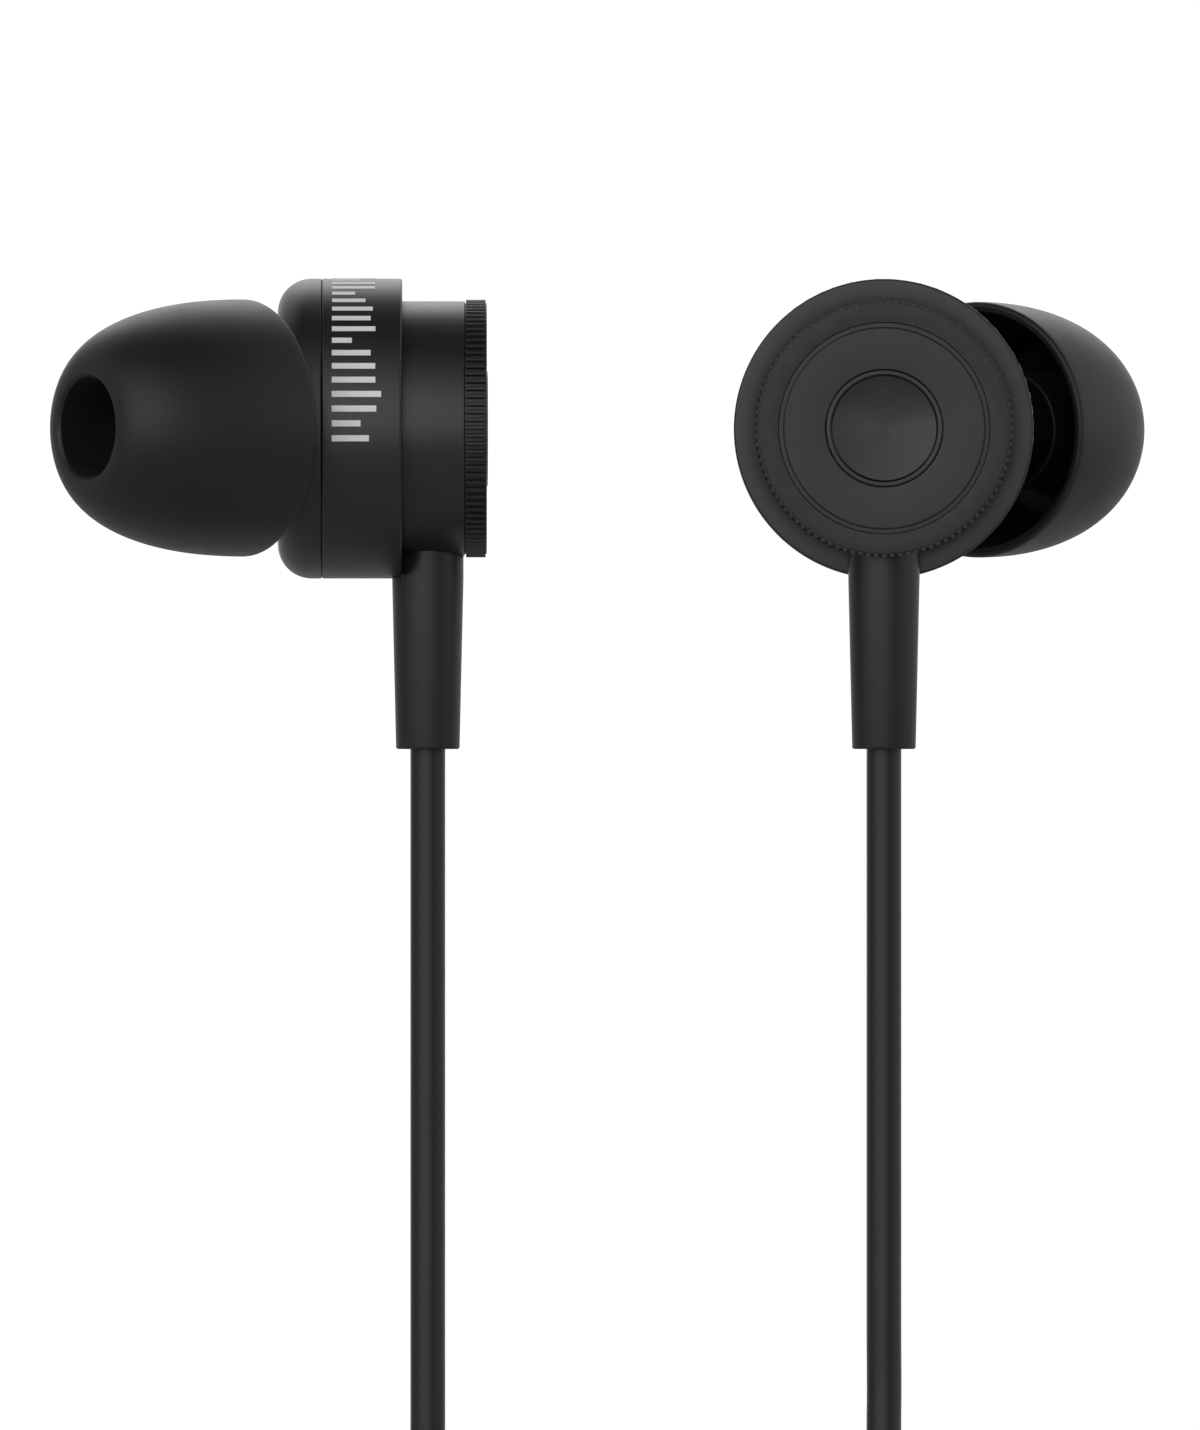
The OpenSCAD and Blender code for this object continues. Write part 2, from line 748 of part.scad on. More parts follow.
left_ear() strain_relief();  // left_strain_relief
left_cable();
right_ear() ear_tip(-1);  // right_ear_tip
right_ear() nozzle(-1);  // right_nozzle
right_ear() nozzle_screen(-1);  // right_nozzle_screen
right_ear() nose_shell(-1);  // right_nose_shell
right_ear() middle_shell();  // right_middle_shell
right_ear() rear_barrel();  // right_rear_barrel
right_ear() knurled_ring();  // right_knurled_ring
right_ear() back_cap();  // right_back_cap
right_ear() badge();  // right_badge
right_ear() driver_cover();  // right_driver_cover
right_ear() diaphragm();  // right_diaphragm
right_ear() voice_coil();  // right_voice_coil
right_ear() driver_basket();  // right_driver_basket
right_ear() pole_plate();  // right_pole_plate
right_ear() magnet();  // right_magnet
right_ear() yoke();  // right_yoke
right_ear() rear_damper();  // right_rear_damper
right_ear() terminal_board();  // right_terminal_board
right_ear() lead_wires();  // right_lead_wires
right_ear() cable_stop();  // right_cable_stop
right_ear() strain_relief();  // right_strain_relief
right_cable();
branch_hank();
cable_splitter();
main_hank();
main_tail();
cable_tie();
plug_strain_relief();
plug_grip();
plug_sleeve();
plug_ring();
plug_tip();
plug_insulators();
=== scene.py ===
"""Wired in-ear earphones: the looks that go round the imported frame.

The frame holds every sub-part at its real size and place. This script gives the seen sub-parts smooth
meshes with soft edges, lays the cables at their real length and dresses everything with procedural
finishes. Sizes are in millimetres and are turned to metres where a mesh is made.
"""

import logging
import math
from collections.abc import Callable, Sequence
from dataclasses import dataclass, field, replace
from enum import Enum
from functools import cache

import bmesh
import bpy
from mathutils import Matrix, Vector


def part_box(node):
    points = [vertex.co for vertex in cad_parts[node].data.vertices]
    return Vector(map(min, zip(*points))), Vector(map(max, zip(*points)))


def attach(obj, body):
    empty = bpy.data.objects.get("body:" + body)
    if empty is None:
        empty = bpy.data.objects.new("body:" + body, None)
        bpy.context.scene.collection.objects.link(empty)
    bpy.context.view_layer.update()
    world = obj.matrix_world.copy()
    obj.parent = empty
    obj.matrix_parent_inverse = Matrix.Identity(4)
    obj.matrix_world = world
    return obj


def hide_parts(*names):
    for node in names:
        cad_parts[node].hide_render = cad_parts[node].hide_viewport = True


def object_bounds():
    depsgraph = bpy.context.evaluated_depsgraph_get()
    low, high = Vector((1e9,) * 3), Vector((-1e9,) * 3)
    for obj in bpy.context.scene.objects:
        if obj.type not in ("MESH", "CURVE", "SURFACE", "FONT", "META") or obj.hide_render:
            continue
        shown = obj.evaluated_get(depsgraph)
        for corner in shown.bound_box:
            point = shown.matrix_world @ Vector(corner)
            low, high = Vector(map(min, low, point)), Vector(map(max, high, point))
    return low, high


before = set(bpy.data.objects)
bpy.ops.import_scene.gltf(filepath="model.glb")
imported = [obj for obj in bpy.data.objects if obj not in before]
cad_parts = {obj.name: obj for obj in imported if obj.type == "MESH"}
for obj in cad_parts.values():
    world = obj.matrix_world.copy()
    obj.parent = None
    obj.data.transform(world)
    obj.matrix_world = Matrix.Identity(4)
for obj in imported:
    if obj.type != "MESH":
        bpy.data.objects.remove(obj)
CAD_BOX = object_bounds()

MM = 0.001
UP = Vector((0, 0, 1))
DOWN = Vector((0, 0, -1))
POLE = 1e-6

log = logging.getLogger("earphones")

Corner = tuple[float, float, float]
Profile = list[tuple[float, float]]


class Side(Enum):
    """The two earpieces."""

    LEFT = "left"
    RIGHT = "right"


class Relief(Enum):
    """The kinds of fine surface relief that a finish may carry."""

    GRAIN = "grain"
    CELLS = "cells"


# ---------- axes ----------


@dataclass(frozen=True)
class Axis:
    """A line that round sub-parts are turned about, with the direction that counts as angle zero."""

    origin: Vector
    along: Vector
    zero: Vector = UP

    def matrix(self) -> Matrix:
        """Maps a point drawn about +Z in millimetres to its place in metres, with +X at angle zero."""
        columns = (self.zero, self.along.cross(self.zero), self.along)
        turn = Matrix(columns).transposed().to_4x4()
        return Matrix.Translation(self.origin) @ turn @ Matrix.Scale(MM, 4)


# ---------- nodes ----------


def add_node(
    tree: bpy.types.NodeTree,
    kind: str,
    settings: dict[str, object] | None = None,
    inputs: dict[str | int, object] | None = None,
) -> bpy.types.Node:
    """Adds a node with its settings and links.

    Args:
        tree: the node tree that gets the node.
        kind: the node's type.
        settings: attribute values, set before the sockets because some settings change them.
        inputs: for each input, by name or index, a value or the output socket that feeds it.

    Returns:
        The new node.
    """
    node = tree.nodes.new(kind)
    for name, value in (settings or {}).items():
        setattr(node, name, value)
    for key, value in (inputs or {}).items():
        if isinstance(value, bpy.types.NodeSocket):
            tree.links.new(value, node.inputs[key])
        else:
            node.inputs[key].default_value = value
    return node


def linear(colour: str) -> tuple[float, float, float, float]:
    """Turns an sRGB hex colour such as #2b2b2c into linear red, green, blue and alpha."""
    parts = [int(colour[i : i + 2], 16) / 255 for i in (1, 3, 5)]
    red, green, blue = (c / 12.92 if c <= 0.04045 else ((c + 0.055) / 1.055) ** 2.4 for c in parts)
    return red, green, blue, 1.0


# ---------- finishes ----------


# Noise seldom leaves these limits, so the roughness goes its whole way between them
PATCH_LOW, PATCH_HIGH = 0.3, 0.7
# How far turning marks stretch a highlight, and the quarter turn that lays the stretch across them
SPUN_STRETCH, SPUN_TURN = 0.9, 0.25


@dataclass(frozen=True)
class Grain:
    """One layer of fine relief: its cell size and depth in millimetres."""

    size: float
    depth: float
    kind: Relief = Relief.GRAIN


@dataclass(frozen=True)
class Finish:
    """How a surface was made, as the shader needs it.

    The colour wanders between colour and shade, and the roughness between its two values, in patches.
    """

    name: str
    slot: str
    colour: str
    shade: str
    roughness: tuple[float, float]
    patch: float = 2.0
    metallic: float = 0.0
    specular: float = 0.5
    grains: tuple[Grain, ...] = ()
    coat: float = 0.0
    coat_roughness: float = 0.1
    sheen: float = 0.0
    spun: str = ""
    transmission: float = 0.0

    def material(self) -> bpy.types.Material:
        """The material with this finish, made once."""
        return _material(self)


@cache
def _material(finish: Finish) -> bpy.types.Material:
    """Builds the material of a finish.

    Args:
        finish: the finish.

    Returns:
        A material with one Principled shader, patchy colour and roughness, and the finish's relief.
    """
    mat = bpy.data.materials.new(finish.name)
    mat.use_nodes = True
    tree = mat.node_tree
    shader = tree.nodes["Principled BSDF"]
    place = add_node(tree, "ShaderNodeTexCoord").outputs["Object"]
    patches = add_node(
        tree,
        "ShaderNodeTexNoise",
        inputs={"Vector": place, "Scale": 1 / (finish.patch * MM), "Detail": 4.0, "Roughness": 0.6},
    ).outputs["Fac"]
    blend = add_node(
        tree,
        "ShaderNodeMix",
        {"data_type": "RGBA"},
        {0: patches, 6: linear(finish.colour), 7: linear(finish.shade)},
    )
    gloss = add_node(
        tree,
        "ShaderNodeMapRange",
        inputs={
            "Value": patches,
            "From Min": PATCH_LOW,
            "From Max": PATCH_HIGH,
            "To Min": finish.roughness[0],
            "To Max": finish.roughness[1],
        },
    )
    tree.links.new(blend.outputs[2], shader.inputs["Base Color"])
    tree.links.new(gloss.outputs[0], shader.inputs["Roughness"])
    shader.inputs["Metallic"].default_value = finish.metallic
    shader.inputs["Specular IOR Level"].default_value = finish.specular
    shader.inputs["Coat Weight"].default_value = finish.coat
    shader.inputs["Coat Roughness"].default_value = finish.coat_roughness
    shader.inputs["Sheen Weight"].default_value = finish.sheen
    shader.inputs["Transmission Weight"].default_value = finish.transmission
    normal = None
    for grain in finish.grains:
        scale = 1 / (grain.size * MM)
        if grain.kind is Relief.CELLS:
            height = add_node(
                tree, "ShaderNodeTexVoronoi", {"feature": "SMOOTH_F1"}, {"Vector": place, "Scale": scale}
            ).outputs["Distance"]
        else:
            height = add_node(
                tree, "ShaderNodeTexNoise", inputs={"Vector": place, "Scale": scale, "Detail": 2.0}
            ).outputs["Fac"]
        wanted = {"Height": height, "Distance": grain.depth * MM}
        if normal is not None:
            wanted["Normal"] = normal
        normal = add_node(tree, "ShaderNodeBump", inputs=wanted).outputs["Normal"]
    if normal is not None:
        tree.links.new(normal, shader.inputs["Normal"])
    if finish.spun:
        # Fine turning marks run round the piece's own middle and stretch its highlights into fans
        tangent = add_node(tree, "ShaderNodeTangent", {"direction_type": "RADIAL", "axis": finish.spun})
        tree.links.new(tangent.outputs["Tangent"], shader.inputs["Tangent"])
        shader.inputs["Anisotropic"].default_value = SPUN_STRETCH
        shader.inputs["Anisotropic Rotation"].default_value = SPUN_TURN
    return mat


# Moulded silicone from a fine-sparked tool: black, satin, with a skin that picks up a little dust
SILICONE = Finish(
    "moulded_silicone", "silicone", "#151516", "#19191a", (0.40, 0.46), specular=0.40, sheen=0.03,
    grains=(Grain(0.09, 0.0012), Grain(1.6, 0.006)),
)
# Soft-touch lacquer sprayed on turned aluminium: a fine even orange peel that spreads every highlight
SOFT_COAT = Finish(
    "soft_touch_lacquer", "housing", "#171718", "#1b1b1c", (0.33, 0.37), specular=0.58,
    grains=(Grain(0.07, 0.0012), Grain(0.9, 0.002)),
)
# The same lacquer on the band that takes the print
BAND_COAT = replace(SOFT_COAT, name="soft_touch_lacquer_band", slot="housing_band")
# Pad-printed ink: an opaque, slightly thin light grey film
PRINT_INK = Finish(
    "pad_print_ink", "housing_band", "#f4f4f4", "#ebebec", (0.45, 0.6), patch=0.4,
    grains=(Grain(0.05, 0.0008),),
)
# Black anodised aluminium straight off the knurling wheel, a little brighter in patches
KNURLED_METAL = Finish(
    "anodised_knurl", "knurl", "#1c1c1d", "#262627", (0.38, 0.5), patch=0.5, metallic=0.2, specular=0.5,
    grains=(Grain(0.06, 0.001),),
)
# Black anodised aluminium, bead blasted before the bath: matt, with a fine sparkle-free stipple
BLASTED_METAL = Finish(
    "anodised_blasted", "cap", "#202021", "#242425", (0.42, 0.48), specular=0.5,
    grains=(Grain(0.06, 0.0018, Relief.CELLS), Grain(0.7, 0.002)),
)
# Moulded elastomer of the strain reliefs: matt with faint flow patches
RELIEF_RUBBER = Finish(
    "moulded_elastomer", "relief_rubber", "#1a1a1b", "#1f1f20", (0.33, 0.38), patch=3.0, specular=0.42,
    grains=(Grain(0.1, 0.0015), Grain(1.2, 0.003)),
)
# The splitter is moulded from the same elastomer and looks the same
SPLITTER_RUBBER = replace(RELIEF_RUBBER, name="splitter_elastomer", slot="splitter_rubber")
# Extruded elastomer jacket: satin and smooth, with faint die lines
JACKET = Finish(
    "extruded_jacket", "cable_jacket", "#1a1a1b", "#1f1f20", (0.33, 0.38), patch=4.0, specular=0.4,
    grains=(Grain(0.15, 0.0012), Grain(2.5, 0.004)),
)
# Extruded soft vinyl of the tie: dull black, with highlights only along its ribs
TIE_VINYL = Finish(
    "ribbed_vinyl", "tie_vinyl", "#141415", "#19191a", (0.5, 0.62), patch=1.0, specular=0.45,
    grains=(Grain(0.12, 0.002),),
)
# Moulded ABS of the plug's grip: black and satin, with a fine tool texture
GRIP_ABS = Finish(
    "moulded_abs_grip", "grip", "#1a1a1b", "#1f1f20", (0.44, 0.52), patch=2.0, grains=(Grain(0.09, 0.002),)
)
# Moulded ABS of the nozzle: black, with painted shade that makes it darker than the grip so that it hardly
# shows inside the tip, and a finer texture
NOZZLE_ABS_PAINTED_SHADE = Finish(
    "moulded_abs_nozzle_painted_shade", "nozzle_plastic", "#141415", "#18181a", (0.42, 0.5), patch=1.5,
    grains=(Grain(0.08, 0.001),),
)
# Flash gold over nickel, barrel polished: pale yellow, with fairly sharp reflections
GOLD = Finish(
    "gold_plate", "contact_gold", "#e6c078", "#dbb066", (0.14, 0.22), patch=1.0, metallic=1.0,
    grains=(Grain(0.4, 0.0006),),
)
# Moulded nylon between the contacts: black, with the low gloss of a polished tool
INSULATOR = Finish(
    "moulded_nylon_black", "insulator", "#101011", "#151516", (0.25, 0.35), patch=0.6,
    grains=(Grain(0.1, 0.0006),),
)
# Etched stainless mesh, dulled by its acid bath
SCREEN_STEEL = Finish(
    "etched_steel_screen", "screen_steel", "#8f9092", "#7c7d80", (0.3, 0.42), patch=0.4, metallic=1.0,
    grains=(Grain(0.05, 0.0006),),
)
# Zinc-plated steel of the driver's yoke, plate and cover: bluish grey and softly bright
DRIVER_STEEL = Finish(
    "zinc_plated_steel", "driver_steel", "#a2a4a8", "#909298", (0.25, 0.4), patch=0.8, metallic=1.0,
    grains=(Grain(0.2, 0.0015),),
)
# Nickel plate on the magnet: bright and slightly warm
NICKEL = Finish(
    "nickel_plated_magnet", "magnet_nickel", "#c4c2bd", "#b2b0ac", (0.12, 0.25), patch=0.8, metallic=1.0,
    grains=(Grain(0.3, 0.001),),
)
# Thermoformed amber film: shiny, and lets some of the light through
FILM = Finish(
    "amber_polymer_film", "film", "#c79a54", "#b98b46", (0.15, 0.25), patch=1.0, transmission=0.35,
    grains=(Grain(0.5, 0.001),),
)
# Enamelled copper wire: orange metal under a thin clear coat
COPPER = Finish(
    "enamelled_copper", "copper", "#b5622f", "#a25326", (0.2, 0.35), patch=0.3, metallic=1.0, coat=0.6,
    grains=(Grain(0.06, 0.003),),
)
# Moulded natural nylon of the basket: cream and slightly waxy
NYLON = Finish(
    "natural_nylon", "basket_plastic", "#d0ccbe", "#c4bfae", (0.4, 0.55), patch=1.0,
    grains=(Grain(0.15, 0.0015),),
)
# Pressed acoustic felt: short matted fibres
FELT = Finish(
    "pressed_felt", "felt", "#d9d4c6", "#bdb6a4", (0.85, 0.95), patch=0.2, sheen=0.3,
    grains=(Grain(0.06, 0.02), Grain(0.25, 0.02)),
)
# Solder mask over glass epoxy: dark green and glossy
BOARD = Finish(
    "solder_mask_board", "board", "#1d6136", "#17502c", (0.25, 0.4), patch=0.3, coat=0.3,
    grains=(Grain(0.12, 0.002),),
)


def badge_finish(axis: str) -> Finish:
    """Black anodised aluminium, spun on a lathe after the bath; axis is X or Y, the one that it faces."""
    return Finish(
        f"anodised_spun_{axis.lower()}", "badge", "#343436", "#3c3c3e", (0.2, 0.24), patch=0.8, metallic=1.0,
        grains=(Grain(0.05, 0.0004),), spun=axis,
    )


# ---------- shapes ----------


def outline(corners: Sequence[Corner], steps: int = 5) -> Profile:
    """Turns a closed run of corners into an outline with rounded corners.

    Args:
        corners: for each corner its radius, its place along the axis and its rounding.
        steps: how many flats a rounded corner gets.

    Returns:
        The outline's points.
    """
    points: Profile = []
    for i, (radius, along, rounding) in enumerate(corners):
        here = Vector((radius, along))
        back = Vector(corners[i - 1][:2]) - here
        ahead = Vector(corners[(i + 1) % len(corners)][:2]) - here
        if rounding <= 0:
            points.append((radius, along))
            continue
        half = back.angle(ahead) / 2
        cut = min(rounding / math.tan(half), 0.9 * back.length, 0.9 * ahead.length)
        start, end = here + back.normalized() * cut, here + ahead.normalized() * cut
        middle = here + (back.normalized() + ahead.normalized()).normalized() * (cut / math.cos(half))
        first, last = start - middle, end - middle
        sweep = math.pi - 2 * half
        for k in range(steps + 1):
            part = k / steps
            spoke = (first * math.sin((1 - part) * sweep) + last * math.sin(part * sweep)) / math.sin(sweep)
            points.append(tuple(middle + spoke))
    return points


def object_of(name: str, mesh: bpy.types.Mesh) -> bpy.types.Object:
    """Puts a mesh in the scene as an object at the origin."""
    made = bpy.data.objects.new(name, mesh)
    bpy.context.scene.collection.objects.link(made)
    return made


def mesh_of(name: str, build: Callable[[bmesh.types.BMesh], None]) -> bpy.types.Mesh:
    """Makes a mesh from a function that fills a BMesh, with its faces turned outwards."""
    bm = bmesh.new()
    build(bm)
    bmesh.ops.recalc_face_normals(bm, faces=bm.faces[:])
    mesh = bpy.data.meshes.new(name)
    bm.to_mesh(mesh)
    bm.free()
    return mesh


def skin_rings(bm: bmesh.types.BMesh, rings: list[list[bmesh.types.BMVert]], closed: bool) -> None:
    """Joins rings of points with faces; a ring of one point is a pole.

    Args:
        bm: the BMesh that holds the rings.
        rings: the rings in order.
        closed: whether the last ring joins the first.
    """
    pairs = list(zip(rings, rings[1:] + rings[:1] if closed else rings[1:]))
    for low, high in pairs:
        count = max(len(low), len(high))
        if count == 1:
            continue
        for i in range(count):
            j = (i + 1) % count
            corners = [low[i % len(low)], low[j % len(low)], high[j % len(high)], high[i % len(high)]]
            bm.faces.new(list(dict.fromkeys(corners)))


def lathe(name: str, profile: Profile, axis: Axis | None = None, segments: int = 144) -> bpy.types.Object:
    """Turns a closed outline about an axis.

    Args:
        name: the piece's name.
        profile: the outline as radius and place along the axis, in millimetres.
        axis: the line that it is turned about; without one the piece stays about +Z, in millimetres.
        segments: how many flats it has round the axis.

    Returns:
        The piece.
    """
    turns = [math.tau * i / segments for i in range(segments)]

    def build(bm: bmesh.types.BMesh) -> None:
        """Fills the mesh with the turned outline."""
        rings = []
        for radius, along in profile:
            spokes = [0.0] if radius < POLE else turns
            rings.append([bm.verts.new((radius * math.cos(a), radius * math.sin(a), along)) for a in spokes])
        skin_rings(bm, rings, closed=True)

    piece = object_of(name, mesh_of(name, build))
    return piece if axis is None else put(piece, axis)


def put(piece: bpy.types.Object, axis: Axis) -> bpy.types.Object:
    """Moves a piece drawn about +Z in millimetres to its place about an axis."""
    piece.data.transform(axis.matrix())
    return piece


def rod(axis: Axis, low: float, high: float, radius: float, segments: int = 144) -> bpy.types.Object:
    """A plain round rod, used as a cutter."""
    return lathe("cutter", [(0, low), (radius, low), (radius, high), (0, high)], axis, segments)


def settle_modifiers(piece: bpy.types.Object) -> bpy.types.Object:
    """Makes what a piece's modifiers show its own plain mesh and removes them."""
    seen = piece.evaluated_get(bpy.context.evaluated_depsgraph_get())
    mesh = bpy.data.meshes.new_from_object(seen)
    piece.modifiers.clear()
    piece.data = mesh
    return piece


def carve(piece: bpy.types.Object, *cutters: bpy.types.Object) -> bpy.types.Object:
    """Cuts other shapes out of a piece and removes them.

    Args:
        piece: the piece to cut.
        cutters: closed shapes to take away.

    Returns:
        The piece.
    """
    for cutter in cutters:
        cut = piece.modifiers.new("cut", "BOOLEAN")
        cut.operation, cut.solver, cut.object = "DIFFERENCE", "EXACT", cutter
    settle_modifiers(piece)
    for cutter in cutters:
        bpy.data.objects.remove(cutter)
    return piece


def smooth(piece: bpy.types.Object, angle: float = 32.0) -> bpy.types.Object:
    """Shades a piece smooth, apart from edges sharper than an angle in degrees."""
    piece.data.shade_smooth()
    piece.data.set_sharp_from_angle(angle=math.radians(angle))
    return piece


def copy_of(node: str, name: str, bevel: float = 0.02) -> bpy.types.Object:
    """Copies a CAD node, joins its loose and level faces and softens its edges.

    Args:
        node: the CAD node.
        name: the copy's name.
        bevel: how far the edges are rounded, in millimetres.

    Returns:
        The copy.
    """
    bm = bmesh.new()
    bm.from_mesh(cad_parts[node].data)
    bmesh.ops.remove_doubles(bm, verts=bm.verts[:], dist=1e-7)
    bmesh.ops.dissolve_limit(bm, angle_limit=math.radians(0.5), verts=bm.verts[:], edges=bm.edges[:])
    mesh = bpy.data.meshes.new(name)
    bm.to_mesh(mesh)
    bm.free()
    piece = object_of(name, mesh)
    if bevel > 0:
        round_edges(piece, bevel)
    return piece


def round_edges(piece: bpy.types.Object, width: float, segments: int = 2) -> bpy.types.Object:
    """Rounds a piece's sharp edges by a width in millimetres."""
    bevel = piece.modifiers.new("edges", "BEVEL")
    bevel.width = width * MM
    bevel.segments = segments
    bevel.limit_method = "ANGLE"
    bevel.angle_limit = math.radians(40)
    bevel.use_clamp_overlap = True
    return settle_modifiers(piece)


def join(name: str, *pieces: bpy.types.Object) -> bpy.types.Object:
    """Makes one piece of several, each of which keeps its own material.

    Args:
        name: the new piece's name.
        pieces: the pieces, which are removed.

    Returns:
        The new piece.
    """
    bm = bmesh.new()
    mesh = bpy.data.meshes.new(name)
    for piece in pieces:
        count = len(bm.faces)
        bm.from_mesh(piece.data)
        bm.faces.ensure_lookup_table()
        for face in bm.faces[count:]:
            face.material_index += len(mesh.materials)
        for material in piece.data.materials:
            mesh.materials.append(material)
        bpy.data.objects.remove(piece)
    bm.to_mesh(mesh)
    bm.free()
    return object_of(name, mesh)


def loft(name: str, levels: Sequence[tuple[float, float, float, float]], sides: int = 96) -> bpy.types.Object:
    """A closed body through level sections, in millimetres.

    Args:
        name: the piece's name.
        levels: each section's height, half width, half depth and squareness, where 2 is an ellipse.
        sides: how many points each section has.

    Returns:
        The piece, about +Z.
    """

    def build(bm: bmesh.types.BMesh) -> None:
        """Fills the mesh with the sections and its two ends."""
        turns = [math.tau * i / sides for i in range(sides)]
        rings = []
        for height, wide, deep, square in levels:
            power = 2 / square
            ring = []
            for c, s in ((math.cos(a), math.sin(a)) for a in turns):
                x = math.copysign(abs(c) ** power, c) * wide
                y = math.copysign(abs(s) ** power, s) * deep
                ring.append(bm.verts.new((x, y, height)))
            rings.append(ring)
        skin_rings(bm, rings, closed=False)
        bm.faces.new(rings[0])
        bm.faces.new(rings[-1])

    return object_of(name, mesh_of(name, build))


def centreline(name: str, points: Sequence[Vector], radius: float, turn_steps: int = 5) -> bpy.types.Object:
    """A round cord along a smooth open curve.

    Args:
        name: the piece's name.
        points: the points that it passes, in millimetres.
        radius: its radius in millimetres.
        turn_steps: how many straight parts lie between two points.

    Returns:
        The curve object.
    """
    data = bpy.data.curves.new(name, "CURVE")
    data.dimensions = "3D"
    data.resolution_u = turn_steps
    data.bevel_depth = radius * MM
    data.bevel_resolution = 6
    data.use_fill_caps = True
    spline = data.splines.new("BEZIER")
    spline.bezier_points.add(len(points) - 1)
    for knot, point in zip(spline.bezier_points, points):
        knot.co = point * MM
        knot.handle_left_type = knot.handle_right_type = "AUTO"
    made = bpy.data.objects.new(name, data)
    bpy.context.scene.collection.objects.link(made)
    return made


# ---------- patterns made by geometry nodes ----------


# A knurl tooth's flanks: how sharply they roll off, and how much of its depth they lose
FLANK_POWER, FLANK_DROP = 5.0, 0.95
# The shortest and the longest printed bar, as parts of the full length
BAR_LEAST, BAR_MOST = 0.3, 1.0


@dataclass
class Pattern:
    """A node tree under construction, with its named inputs."""

    name: str
    tree: bpy.types.GeometryNodeTree = field(init=False)
    entry: bpy.types.Node = field(init=False)

    def __post_init__(self) -> None:
        """Starts the tree with one geometry input and one geometry output."""
        self.tree = bpy.data.node_groups.new(self.name, "GeometryNodeTree")
        self.tree.interface.new_socket("Geometry", in_out="INPUT", socket_type="NodeSocketGeometry")
        self.tree.interface.new_socket("Geometry", in_out="OUTPUT", socket_type="NodeSocketGeometry")
        self.entry = self.tree.nodes.new("NodeGroupInput")

    def size(self, name: str, kind: str = "NodeSocketFloat") -> bpy.types.NodeSocket:
        """Adds a named input and returns the socket that carries it."""
        self.tree.interface.new_socket(name, in_out="INPUT", socket_type=kind)
        return self.entry.outputs[name]

    def add(self, kind: str, settings: dict | None = None, inputs: dict | None = None) -> bpy.types.Node:
        """Adds a node to the tree."""
        return add_node(self.tree, kind, settings, inputs)

    def finish(self, geometry: bpy.types.NodeSocket, material: bpy.types.NodeSocket) -> None:
        """Ends the tree with Realize Instances and Set Material."""
        real = self.add("GeometryNodeRealizeInstances", inputs={"Geometry": geometry})
        dressed = self.add(
            "GeometryNodeSetMaterial", inputs={"Geometry": real.outputs[0], "Material": material}
        )
        self.add("NodeGroupOutput", inputs={"Geometry": dressed.outputs[0]})

    def grow(self, **values: object) -> bpy.types.Object:
        """Runs the tree and keeps the result as a plain mesh.

        Args:
            values: the named inputs, with underscores for spaces.

        Returns:
            A new piece about +Z, in millimetres.
        """
        piece = object_of(self.name, bpy.data.meshes.new(self.name))
        modifier = piece.modifiers.new(self.name, "NODES")
        modifier.node_group = self.tree
        sockets = {s.name: s.identifier for s in self.tree.interface.items_tree if s.in_out == "INPUT"}
        for name, value in values.items():
            modifier[sockets[name.replace("_", " ")]] = value
        return settle_modifiers(piece)


